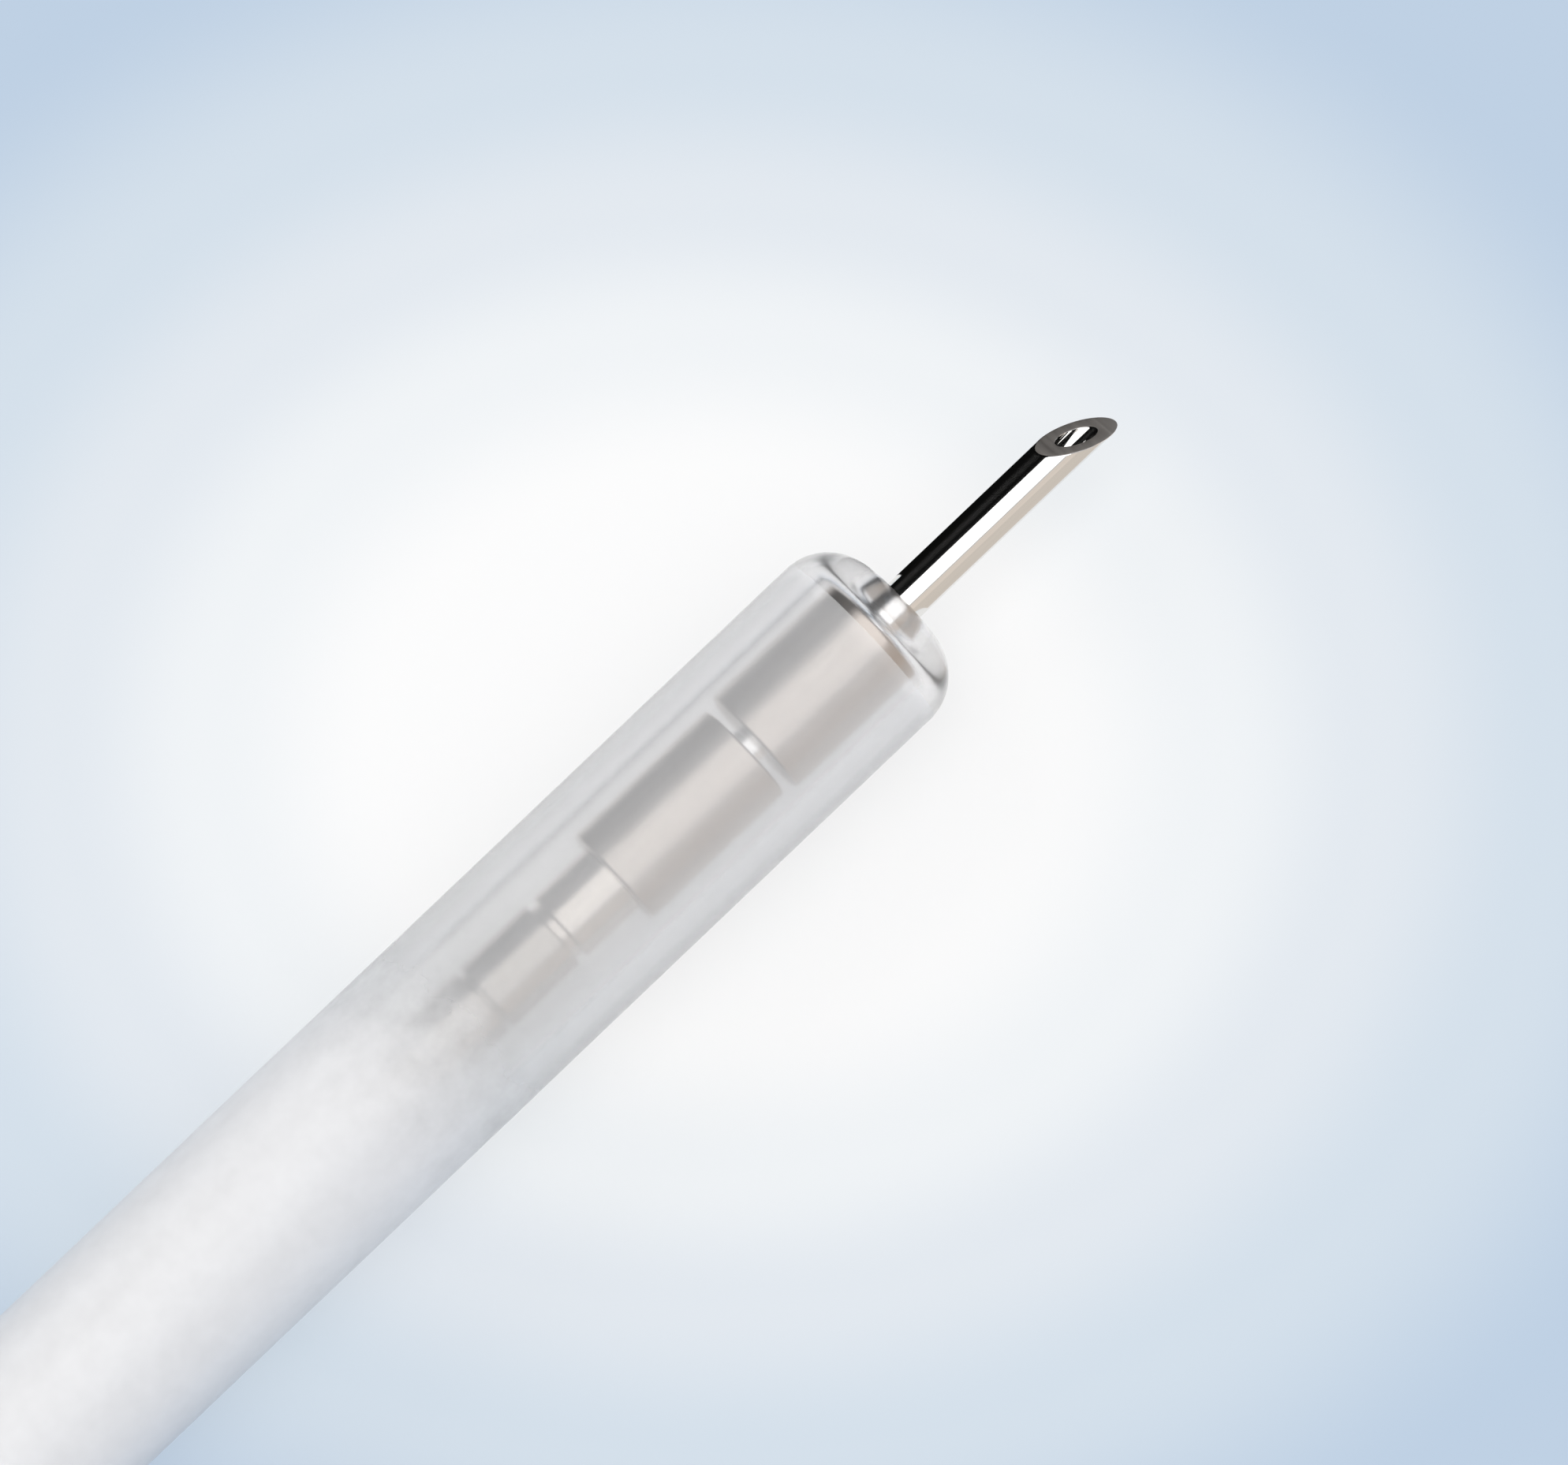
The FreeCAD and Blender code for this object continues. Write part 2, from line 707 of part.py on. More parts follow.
def build_rear_bush():
    """Long bush that guides the plunger's rod and stops its piston at the end of the stroke."""
    body = new_body("rear_bush")
    inner = "Sizes.rod_od / 2 + Sizes.running_gap"
    outer = "Sizes.barrel_bore / 2 - Sizes.bond_gap"
    rim_rear = f"({NECK_REAR_X} - Sizes.bush_rim)"
    spin(
        body,
        "section",
        [
            (BUSH_FRONT_X, inner),
            (BUSH_FRONT_X, outer),
            (NECK_REAR_X, outer),
            (NECK_REAR_X, "Sizes.bush_rim_od / 2"),
            (rim_rear, "Sizes.bush_rim_od / 2"),
            (rim_rear, inner),
        ],
    )
    place_on_handle(body)


def build_lock_collet():
    """Slit tapered ring that the lock collar squeezes on to the plunger's rod."""
    body = new_body("lock_collet")
    inner = "Sizes.rod_od / 2 + Sizes.running_gap"
    front = f"({NECK_REAR_X} - Sizes.bush_rim)"
    rear = f"({front} - Sizes.collet_len + Sizes.running_gap)"
    spin(
        body,
        "section",
        [
            (front, inner),
            (front, "Sizes.collet_big_od / 2"),
            (rear, "Sizes.collet_small_od / 2"),
            (rear, inner),
        ],
    )
    sketch = new_sketch(body, "slit", "XY_Plane")
    half = "Sizes.collet_slit / 2"
    slit_front = f"{front} + {CUT_REACH}"
    slit_rear = f"{rear} - {CUT_REACH}"
    draw_outline(
        sketch,
        [
            (slit_front, f"-{half}"),
            (slit_front, half),
            (slit_rear, half),
            (slit_rear, f"-{half}"),
        ],
    )
    pocket = body.newObject("PartDesign::Pocket", "slit_cut")
    pocket.Profile = sketch
    pocket.Type = "ThroughAll"
    pocket.Reversed = True
    place_on_handle(body)


def build_lock_collar():
    """Fluted collar that turns on the neck, with a cone over the collet."""
    body = new_body("lock_collar")
    outer = "Sizes.lock_od / 2"
    neck = "Sizes.neck_od / 2 + Sizes.running_gap"
    front = "(-Sizes.barrel_len - Sizes.running_gap)"
    cone_front = f"({NECK_REAR_X} - Sizes.bush_rim)"
    cone_rear = f"({LOCK_REAR_X} + Sizes.lock_wall)"
    rod_hole = "Sizes.rod_od / 2 + Sizes.loose_gap"
    spin(
        body,
        "section",
        [
            (front, neck),
            (front, outer),
            (LOCK_REAR_X, outer),
            (LOCK_REAR_X, rod_hole),
            (cone_rear, rod_hole),
            (cone_rear, "Sizes.collet_small_od / 2 + Sizes.loose_gap"),
            (cone_front, "Sizes.collet_big_od / 2 + Sizes.loose_gap"),
            (cone_front, neck),
        ],
    )
    rear_edge = circle_at(-size("barrel_len") - size("lock_len"), size("lock_od") / 2)
    round_edges(body, "rear_round", "Sizes.edge_round", rear_edge)
    flutes(
        body,
        "flute",
        front,
        LOCK_REAR_X,
        "Sizes.lock_od",
        "Sizes.lock_flute_depth",
        "Sizes.lock_flute_radius",
        "Sizes.lock_flutes",
    )
    place_on_handle(body)


def build_plunger():
    """Moulded plunger: grooved piston, marked rod, oval thumb plate and a stepped bore."""
    body = new_body("plunger")
    piston = "Sizes.barrel_bore / 2 - Sizes.running_gap"
    rod = "Sizes.rod_od / 2"
    seal_bed = "Sizes.barrel_bore / 2 - Sizes.bond_gap * 2 - Sizes.seal_section"
    groove_front = f"({PISTON_FRONT_X} - Sizes.seal_land)"
    groove_rear = f"({groove_front} - Sizes.seal_section - Sizes.running_gap * 2)"
    marks = ring_slots(
        f"({LOCK_REAR_X} - Sizes.mark_pitch)",
        "Sizes.mark_slot",
        "Sizes.mark_depth",
        "Sizes.mark_pitch",
        int(size("mark_count")),
        rod,
    )
    spin(
        body,
        "outside",
        [
            (PISTON_FRONT_X, "0"),
            (PISTON_FRONT_X, piston),
            (groove_front, piston),
            (groove_front, seal_bed),
            (groove_rear, seal_bed),
            (groove_rear, piston),
            (PISTON_REAR_X, piston),
            (PISTON_REAR_X, rod),
            *marks,
            (THUMB_REAR_X, rod),
            (THUMB_REAR_X, "0"),
        ],
    )
    pad_stadium(
        body, "thumb", THUMB_FRONT_X, "Sizes.thumb_wide", "Sizes.thumb_high", "Sizes.thumb_thick"
    )
    front = -size("barrel_len") - size("lock_len") - size("rod_show")
    rim = plate_rim(front, size("thumb_thick"), size("rod_od") / 2 + TOLERANCE)
    round_edges(body, "thumb_round", "Sizes.edge_round", rim)
    guide = "Sizes.guide_od / 2 + Sizes.bond_gap"
    hub = "Sizes.hub_spigot_od / 2 + Sizes.bond_gap"
    hub_front = f"({THUMB_REAR_X} + Sizes.hub_spigot_len + Sizes.bond_gap)"
    spin(
        body,
        "bores",
        [
            (f"{PISTON_FRONT_X} + {CUT_REACH}", "0"),
            (f"{PISTON_FRONT_X} + {CUT_REACH}", guide),
            (TUBE_REAR_X, guide),
            (TUBE_REAR_X, "Sizes.flow_bore / 2"),
            (hub_front, "Sizes.flow_bore / 2"),
            (hub_front, hub),
            (f"{THUMB_REAR_X} - {CUT_REACH}", hub),
            (f"{THUMB_REAR_X} - {CUT_REACH}", "0"),
        ],
        cut=True,
    )
    place_on_handle(body)


def build_plunger_seal():
    """Round-section ring in the piston's groove."""
    body = new_body("plunger_seal")
    middle = (
        f"({PISTON_FRONT_X} - Sizes.seal_land - Sizes.seal_section / 2 - Sizes.running_gap)"
    )
    up = "Sizes.barrel_bore / 2 - Sizes.seal_gap - Sizes.seal_section / 2"
    spin_disc(body, "section", middle, up, "Sizes.seal_section / 2")
    place_on_handle(body)


def build_plunger_tubes():
    """Steel guide tube in the plunger, and the rear stretch of the inner tube inside it."""
    guide = pipe(
        "guide_tube",
        "-Sizes.guide_short",
        TUBE_REAR_X,
        "Sizes.guide_od / 2",
        "Sizes.tube_od / 2 + Sizes.bond_gap",
    )
    place_on_handle(guide)
    inner = pipe(
        "inner_tube_rear",
        "Sizes.tube_reach",
        TUBE_REAR_X,
        "Sizes.tube_od / 2",
        "Sizes.tube_bore / 2",
    )
    place_on_handle(inner)


def build_syringe_hub():
    """Tapered socket for a syringe: foot on the thumb plate, two lugs at the mouth."""
    body = new_body("syringe_hub")
    outer = "Sizes.hub_od / 2"
    spigot = "Sizes.hub_spigot_od / 2"
    foot = "Sizes.hub_foot_od / 2"
    spigot_front = f"({THUMB_REAR_X} + Sizes.hub_spigot_len)"
    foot_rear = f"({THUMB_REAR_X} - Sizes.hub_foot)"
    spin(
        body,
        "outside",
        [
            (spigot_front, "0"),
            (spigot_front, spigot),
            (THUMB_REAR_X, spigot),
            (THUMB_REAR_X, foot),
            (foot_rear, foot),
            (foot_rear, outer),
            (HUB_REAR_X, outer),
            (HUB_REAR_X, "0"),
        ],
    )
    lug_front = f"({HUB_REAR_X} + Sizes.lug_thick)"
    sketch = new_sketch(body, "lugs", "YZ_Plane", lug_front)
    reach = f"(Sizes.lug_od / 2 + {CUT_REACH})"
    half = "(Sizes.lug_wide / 2)"
    draw_outline(
        sketch,
        [(f"-{reach}", f"-{half}"), (reach, f"-{half}"), (reach, half), (f"-{reach}", half)],
    )
    pad = body.newObject("PartDesign::Pad", "lugs_pad")
    pad.Profile = sketch
    pad.Reversed = True
    pad.setExpression("Length", "Sizes.lug_thick")
    spin(
        body,
        "lug_ends",
        [
            (f"{lug_front} + {CUT_REACH}", "Sizes.lug_od / 2"),
            (f"{lug_front} + {CUT_REACH}", f"Sizes.lug_od / 2 + {CUT_REACH} * 2"),
            (f"{HUB_REAR_X} - {CUT_REACH}", f"Sizes.lug_od / 2 + {CUT_REACH} * 2"),
            (f"{HUB_REAR_X} - {CUT_REACH}", "Sizes.lug_od / 2"),
        ],
        cut=True,
    )
    mouth = "Sizes.socket_mouth / 2"
    throat = "(Sizes.socket_mouth - Sizes.socket_len * Sizes.socket_taper) / 2"
    socket_end = f"({HUB_REAR_X} + Sizes.socket_len)"
    flow = "Sizes.flow_bore / 2"
    spin(
        body,
        "socket",
        [
            (HUB_REAR_X, "0"),
            (HUB_REAR_X, mouth),
            (socket_end, throat),
            (socket_end, flow),
            (f"{spigot_front} + {CUT_REACH}", flow),
            (f"{spigot_front} + {CUT_REACH}", "0"),
        ],
        cut=True,
    )
    place_on_handle(body)


def rounded_path(points):
    """Join straight runs by arcs as large as both runs allow, and print each radius."""
    points = [FreeCAD.Vector(*point) for point in points]
    edges = []
    start = points[0]
    for before, corner, after in zip(points, points[1:], points[2:]):
        back = before - corner
        ahead = after - corner
        trim = ARC_SHARE * min(back.Length, ahead.Length)
        turn = math.pi - back.getAngle(ahead)
        back.normalize()
        ahead.normalize()
        inward = back + ahead
        inward.normalize()
        radius = trim / math.tan(turn / 2)
        print(f"arc radius {radius:.1f}")
        first = corner + back * trim
        last = corner + ahead * trim
        middle = corner + inward * (radius / math.cos(turn / 2) - radius)
        edges.append(Part.LineSegment(start, first).toShape())
        edges.append(Part.Arc(first, middle, last).toShape())
        start = last
    edges.append(Part.LineSegment(start, points[-1]).toShape())
    return Part.Wire(edges)


def build_cord_tube(name, points):
    """Sweep the sheath's full round section along a route, and compare its volume."""
    path = rounded_path(points)
    heading = FreeCAD.Vector(*points[1]) - FreeCAD.Vector(*points[0])
    radius = size("sheath_od") / 2
    section = Part.Wire([Part.Circle(FreeCAD.Vector(*points[0]), heading, radius).toShape()])
    feature = doc.addObject("Part::Feature", name)
    feature.Label = name
    feature.Shape = path.makePipeShell([section], True, True)
    expected = math.pi * radius**2 * path.Length
    print(f"{name}: length {path.Length:.1f}, volume {feature.Shape.Volume / expected:.4f}")


def build_sheath_coil():
    """Outer shape of the neat coil: a ring with rounded edges, standing on the table."""
    body = new_body("sheath_coil")
    radius = "Sizes.sheath_od / 2"
    inner = f"(Sizes.coil_inner_turn - {radius})"
    outer = f"(Sizes.coil_inner_turn + (Sizes.coil_columns - 1) * Sizes.sheath_od + {radius})"
    half = "Sizes.coil_rows * Sizes.sheath_od / 2"
    spin(
        body,
        "section",
        [(f"-{half}", inner), (f"-{half}", outer), (half, outer), (half, inner)],
    )
    round_edges(body, "rounded", "Sizes.coil_edge_round", is_round)
    middle_x, middle_y, _ = coil_middle()
    upright = FreeCAD.Rotation(FreeCAD.Vector(0, 1, 0), -90)
    height = size("coil_rows") * size("sheath_od") / 2
    body.Placement = FreeCAD.Placement(FreeCAD.Vector(middle_x, middle_y, height), upright)


def build_cord():
    """Sheath between the handle and the tip: tube, coil and the easy bend out to the tip."""
    build_cord_tube("sheath_run_handle", HANDLE_ROUTE)
    build_sheath_coil()
    middle_x, middle_y, outer_turn = coil_middle()
    low = size("sheath_od") / 2
    leave_y = middle_y - outer_turn
    arrive_x = middle_x - size("tip_run")
    arrive_y = leave_y - size("tip_shift")
    build_cord_tube(
        "sheath_run_tip",
        [
            (middle_x, leave_y, low),
            (middle_x - size("tip_run_end"), leave_y, low),
            (arrive_x + size("tip_run_end"), arrive_y, low),
            (arrive_x, arrive_y, low),
        ],
    )


def write_parts():
    """Check every object, then write each sub-part's solid to its own file."""
    doc.recompute()
    for item in doc.Objects:
        if "Invalid" in item.State or "Error" in item.State:
            raise RuntimeError(f"{item.Label} failed: {item.State}")
    parts = [item for item in doc.Objects if item.TypeId in ("PartDesign::Body", "Part::Feature")]
    for part in parts:
        if part.Shape.isNull() or not part.Shape.isValid() or len(part.Shape.Solids) != 1:
            raise RuntimeError(f"{part.Label} is not one valid solid")
    os.makedirs("parts", exist_ok=True)
    for part in parts:
        box = part.Shape.BoundBox
        part.Shape.exportStep(f"parts/{part.Label}.step")
        print(
            f"{part.Label}: {len(part.Shape.Solids)} solid, {part.Shape.Volume:.3f} mm3,"
            f" x {box.XMin:.2f} {box.XMax:.2f}, y {box.YMin:.2f} {box.YMax:.2f},"
            f" z {box.ZMin:.2f} {box.ZMax:.2f}"
        )


build_sheath_tip()
build_needle_cannula()
build_needle_sleeves()
build_tube_adapter()
build_inner_tube_front()
build_handle_body()
build_nose_cap()
build_sheath_ferrule()
build_strain_relief()
build_sheath_root()
build_rear_bush()
build_lock_collet()
build_lock_collar()
build_plunger()
build_plunger_seal()
build_plunger_tubes()
build_syringe_hub()
build_cord()
write_parts()
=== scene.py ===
"""Endoscopic injection needle: clear sheath end, bevelled cannula, coiled sheath and handle.

Sizes of pieces are in millimetres until a mesh is made, and every mesh is made in metres in
the part's own frame: X along the handle, Z up, the table at Z = 0. Places in materials and
lamps are in metres from the start.
"""

from __future__ import annotations

import logging
import math
from collections.abc import Callable, Sequence
from dataclasses import dataclass
from enum import Enum

import bpy
import numpy as np
from mathutils import Matrix, Vector


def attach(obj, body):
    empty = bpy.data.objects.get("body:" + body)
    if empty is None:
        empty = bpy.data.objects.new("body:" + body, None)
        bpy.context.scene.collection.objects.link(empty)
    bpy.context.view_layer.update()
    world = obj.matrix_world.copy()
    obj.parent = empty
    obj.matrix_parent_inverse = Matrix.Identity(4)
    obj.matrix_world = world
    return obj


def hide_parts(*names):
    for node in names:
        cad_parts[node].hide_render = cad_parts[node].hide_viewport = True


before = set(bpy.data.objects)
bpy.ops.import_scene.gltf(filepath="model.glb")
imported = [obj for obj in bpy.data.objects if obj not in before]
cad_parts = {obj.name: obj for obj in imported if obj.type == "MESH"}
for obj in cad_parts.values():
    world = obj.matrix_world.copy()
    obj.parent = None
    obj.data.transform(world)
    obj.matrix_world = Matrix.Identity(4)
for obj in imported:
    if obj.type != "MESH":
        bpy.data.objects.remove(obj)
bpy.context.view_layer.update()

LOG = logging.getLogger("injection_needle")
MM = 0.001
IMAGE_WIDTH = 1988
IMAGE_HEIGHT = 1858
EDGE_SHARE = 0.92
GUARD_SHARE = 0.25
GUARD_REACH = 0.03
SHARP_ANGLE = math.radians(32.0)

Triple = tuple[float, float, float]
Corner = tuple[float, float, float]
Colour = tuple[float, float, float, float]
Reshape = Callable[[np.ndarray, np.ndarray, np.ndarray], np.ndarray]


class Slot(Enum):
    """Finish slots of the part's record."""

    SHEATH = "clear_sheath"
    NEEDLE = "needle_steel"
    SLEEVE = "sleeve_steel"
    INNER = "inner_tube"
    WHITE = "handle_white"
    BLUE = "grip_blue"
    RELIEF = "relief_rubber"
    SEAL = "seal_rubber"
    HUB = "hub_clear"


class Body(Enum):
    """Moving bodies of the part."""

    HANDLE = "handle"
    PLUNGER = "plunger"
    LOCK = "lock"
    NEEDLE = "needle"


# ---------------------------------------------------------------------------------------
# Surfaces
# ---------------------------------------------------------------------------------------


@dataclass(frozen=True)
class Axis:
    """A straight axis with two directions across it, in millimetres."""

    origin: Triple
    along: Triple
    side: Triple
    up: Triple

    def place(self, along: np.ndarray, side: np.ndarray, up: np.ndarray) -> np.ndarray:
        """Turn distances along and across the axis into points in metres.

        Args:
            along: Distances along the axis.
            side: Distances to the axis's side.
            up: Distances above the axis.

        Returns:
            Points, with x, y and z in the last place.
        """
        parts = (
            np.multiply.outer(along, self.along),
            np.multiply.outer(side, self.side),
            np.multiply.outer(up, self.up),
        )
        return (np.asarray(self.origin) + sum(parts)) * MM


def soften(corners: Sequence[Corner], steps: int = 6) -> np.ndarray:
    """Round the corners of a closed outline with arcs of a given radius.

    Each arc touches both edges of its corner: its centre is on the bisector, and its points
    are spaced evenly in angle. A point a little before and after each arc keeps the shading
    of the straight parts flat.

    Args:
        corners: Place along the axis, distance from it and rounding radius of each corner.
        steps: Spans in each arc.

    Returns:
        Outline points, two numbers each.
    """
    points = np.array([corner[:2] for corner in corners], dtype=float)
    radii = np.array([corner[2] for corner in corners], dtype=float)
    to_next = np.roll(points, -1, axis=0) - points
    lengths = np.linalg.norm(to_next, axis=1)
    heading = to_next / lengths[:, None]
    turn = np.sum(-np.roll(heading, 1, axis=0) * heading, axis=1)
    inside_angles = np.arccos(np.clip(turn, -1.0, 1.0))
    wanted = radii / np.tan(inside_angles / 2)
    room = EDGE_SHARE * lengths / np.maximum(wanted + np.roll(wanted, -1), 1e-9)
    trims = wanted * np.minimum(1.0, np.minimum(room, np.roll(room, 1)))
    pieces = []
    for index, (here, trim, inside) in enumerate(zip(points, trims, inside_angles)):
        back, ahead = -heading[index - 1], heading[index]
        if trim <= 0.0 or inside > math.pi - 1e-3:
            pieces.append(here[None, :])
            continue
        used = trim * math.tan(inside / 2)
        bisector = (back + ahead) / np.linalg.norm(back + ahead)
        centre = here + bisector * used / math.sin(inside / 2)
        first, last = here + back * trim - centre, here + ahead * trim - centre
        sweep = math.pi - inside
        share = np.linspace(0.0, 1.0, steps + 1)[:, None]
        arc = centre + (
            np.sin((1.0 - share) * sweep) * first + np.sin(share * sweep) * last
        ) / math.sin(sweep)
        guard = min(GUARD_SHARE * trim, GUARD_REACH * min(lengths[index - 1], lengths[index]))
        pieces += [
            (here + back * (trim + guard))[None, :],
            arc,
            (here + ahead * (trim + guard))[None, :],
        ]
    return np.vstack(pieces)


def divide(outline: np.ndarray, longest: float) -> np.ndarray:
    """Divide the spans of a closed outline so that none is longer than a given length.

    Args:
        outline: Outline points, two numbers each.
        longest: Longest span allowed.

    Returns:
        The same outline with more points on its long spans.
    """
    following = np.roll(outline, -1, axis=0)
    lengths = np.linalg.norm(following - outline, axis=1)
    counts = np.maximum(1, np.ceil(lengths / longest).astype(int))
    pieces = [
        start + (end - start) * np.arange(count)[:, None] / count
        for start, end, count in zip(outline, following, counts)
    ]
    return np.vstack(pieces)


def turn_outline(
    axis: Axis, outline: np.ndarray, turns: int, reshape: Reshape | None = None
) -> np.ndarray:
    """Turn a closed outline about an axis: point = (along, r cos angle, r sin angle).

    Args:
        axis: Axis to turn about.
        outline: Place along the axis and radius of each point.
        turns: Points in one full turn.
        reshape: Gives a new radius from the place along, the radius and the angle.

    Returns:
        Grid of points, outline points by angles.
    """
    angles = np.linspace(0.0, 2.0 * math.pi, turns, endpoint=False)
    along, angle = np.meshgrid(outline[:, 0], angles, indexing="ij")
    radius = np.repeat(outline[:, 1:2], turns, axis=1)
    if reshape is not None:
        radius = reshape(along, radius, angle)
    return axis.place(along, radius * np.cos(angle), radius * np.sin(angle))


def add_object(name: str, data: bpy.types.ID) -> bpy.types.Object:
    """Make an object at the origin and link it to the scene.

    Args:
        name: Name of the object.
        data: Mesh, curve, camera or light that it holds.

    Returns:
        The object.
    """
    piece = bpy.data.objects.new(name, data)
    bpy.context.scene.collection.objects.link(piece)
    return piece


def ring_faces(rows: int, columns: int) -> np.ndarray:
    """List the four-sided faces of a grid that closes on itself both ways.

    Args:
        rows: Points one way.
        columns: Points the other way.

    Returns:
        Corner numbers of each face.
    """
    row, column = np.meshgrid(np.arange(rows), np.arange(columns), indexing="ij")
    next_row, next_column = (row + 1) % rows, (column + 1) % columns
    return np.stack(
        [
            row * columns + column,
            next_row * columns + column,
            next_row * columns + next_column,
            row * columns + next_column,
        ],
        axis=-1,
    ).reshape(-1, 4)


def volume_of(points: np.ndarray, faces: np.ndarray) -> float:
    """Give the signed volume of a closed mesh: a sixth of the sum of corner triple products.

    Args:
        points: Places of the corners.
        faces: Corner numbers of each four-sided face.

    Returns:
        The volume, under zero where the faces look inwards.
    """
    first, second, third, fourth = (points[faces[:, index]] for index in range(4))
    halves = np.cross(first, second) * third + np.cross(first, third) * fourth
    return float(halves.sum()) / 6.0


def join_rings(name: str, grids: Sequence[np.ndarray]) -> bpy.types.Object:
    """Make one object from closed ring surfaces, each turned to face outwards.

    Args:
        name: Name of the object and its mesh.
        grids: Grids of points, each closed both ways.

    Returns:
        The new object, at the origin.
    """
    points, faces, start = [], [], 0
    for grid in grids:
        own = grid.reshape(-1, 3)
        own_faces = ring_faces(grid.shape[0], grid.shape[1])
        if volume_of(own - own.mean(axis=0), own_faces) < 0.0:
            own_faces = own_faces[:, ::-1]
        points.append(own)
        faces.append(own_faces + start)
        start += len(own)
    mesh = bpy.data.meshes.new(name)
    mesh.from_pydata(np.vstack(points).tolist(), [], np.vstack(faces).tolist())
    mesh.shade_smooth()
    mesh.set_sharp_from_angle(angle=SHARP_ANGLE)
    return add_object(name, mesh)


def turn_piece(
    name: str,
    axis: Axis,
    outline: np.ndarray,
    longest: float,
    turns: int,
    reshape: Reshape | None = None,
) -> bpy.types.Object:
    """Make an object from one closed outline turned about an axis.

    Args:
        name: Name of the object.
        axis: Axis to turn about.
        outline: Place along the axis and radius of each point.
        longest: Longest span left along the outline.
        turns: Points in one full turn.
        reshape: Gives a new radius from the place along, the radius and the angle.

    Returns:
        The new object.
    """
    return join_rings(name, [turn_outline(axis, divide(outline, longest), turns, reshape)])


def stadium_points(half_line: float, radius: float, count: int) -> np.ndarray:
    """Walk round an outline of two half circles joined by straight sides.

    A point at an even share of the way round is at the end of a radius, or on a straight.

    Args:
        half_line: Half the length of the straight sides.
        radius: Radius of the round ends.
        count: Points in the outline.

    Returns:
        Points, sideways and up, anticlockwise from the right end.
    """
    straight, arc = 2.0 * half_line, math.pi * radius
    walked = np.linspace(0.0, 2.0 * (straight + arc), count, endpoint=False)
    quarter = arc / 2.0
    on_right = (walked < quarter) | (walked >= quarter + 2.0 * straight + arc)
    on_top = (walked >= quarter) & (walked < quarter + straight)
    on_left = (walked >= quarter + straight) & (walked < quarter + straight + arc)
    right_angle = np.where(walked < quarter, walked, walked - 2.0 * (straight + arc)) / radius
    left_angle = math.pi / 2 + (walked - quarter - straight) / radius
    low_run = walked - (quarter + straight + arc)
    side = np.select(
        [on_right, on_top, on_left],
        [
            half_line + radius * np.cos(right_angle),
            half_line - (walked - quarter),
            -half_line + radius * np.cos(left_angle),
        ],
        -half_line + low_run,
    )
    up = np.select(
        [on_right, on_top, on_left],
        [radius * np.sin(right_angle), radius, radius * np.sin(left_angle)],
        -radius,
    )
    return np.stack([side, up], axis=-1)


@dataclass(frozen=True)
class StadiumPlate:
    """A plate across an axis with straight long sides, round ends and rounded rims."""

    front: float
    thick: float
    half_line: float
    radius: float
    rim: float
    hole: float
    turns: int = 240
    rim_steps: int = 8
    face_inset: float = 1.15
    face_shares: tuple[float, ...] = (0.0, 0.35, 0.7, 0.94)

    def grid(self, axis: Axis) -> np.ndarray:
        """Blend from the hole's circle to the rim, over quarter rounds at both faces.

        A row at inset d from the rim follows the outline of radius (radius - d); rows between
        the last inset and the hole mix that outline with the hole's circle in even steps.

        Args:
            axis: Axis that the plate stands across.

        Returns:
            Grid of points, closed both ways.
        """
        quarter = np.linspace(0.0, math.pi / 2, self.rim_steps + 1)
        inset = self.rim * (1.0 - np.sin(quarter))
        drop = self.rim * (1.0 - np.cos(quarter))
        hole = stadium_points(0.0, self.hole, self.turns)
        rows, places = [], []
        inner = self.radius - self.rim * self.face_inset
        base = stadium_points(self.half_line, inner, self.turns)
        for share in self.face_shares:
            rows.append(hole * (1.0 - share) + base * share)
            places.append(self.front)
        rows.append(base)
        places.append(self.front)
        for own_inset, own_drop in zip(inset, drop):
            rows.append(stadium_points(self.half_line, self.radius - own_inset, self.turns))
            places.append(self.front - own_drop)
        count = len(rows)
        rows += rows[:count][::-1]
        places += [2 * self.front - self.thick - place for place in places[:count][::-1]]
        points = np.stack(rows)
        along = np.repeat(np.array(places)[:, None], self.turns, axis=1)
        return axis.place(along, points[..., 0], points[..., 1])


# ---------------------------------------------------------------------------------------
# Finishes
# ---------------------------------------------------------------------------------------


def wire(
    tree: bpy.types.NodeTree, node: bpy.types.Node, inputs: dict[str | int, object]
) -> None:
    """Set inputs of a node, or link them.

    Args:
        tree: Node tree that holds the node.
        node: Node to set.
        inputs: Value, or socket to link from, for each named or numbered input.
    """
    for key, value in inputs.items():
        if isinstance(value, bpy.types.NodeSocket):
            tree.links.new(value, node.inputs[key])
        else:
            node.inputs[key].default_value = value


def put(
    tree: bpy.types.NodeTree,
    kind: str,
    inputs: dict[str | int, object] | None = None,
    **settings: object,
) -> bpy.types.Node:
    """Add a node, set its properties, and set or link its inputs.

    Args:
        tree: Node tree to add to.
        kind: Node type.
        inputs: Value, or socket to link from, for each named or numbered input.
        **settings: Properties of the node.

    Returns:
        The new node.
    """
    node = tree.nodes.new(kind)
    for key, value in settings.items():
        setattr(node, key, value)
    wire(tree, node, inputs or {})
    return node


def reckon(
    tree: bpy.types.NodeTree, operation: str, *terms: object, clamp: bool = False
) -> bpy.types.NodeSocket:
    """Reckon with numbers.

    Args:
        tree: Node tree to add to.
        operation: Operation of the Math node.
        *terms: Value or socket for each input.
        clamp: Whether the result is kept between 0 and 1.

    Returns:
        The result.
    """
    node = put(
        tree, "ShaderNodeMath", dict(enumerate(terms)), operation=operation, use_clamp=clamp
    )
    return node.outputs[0]


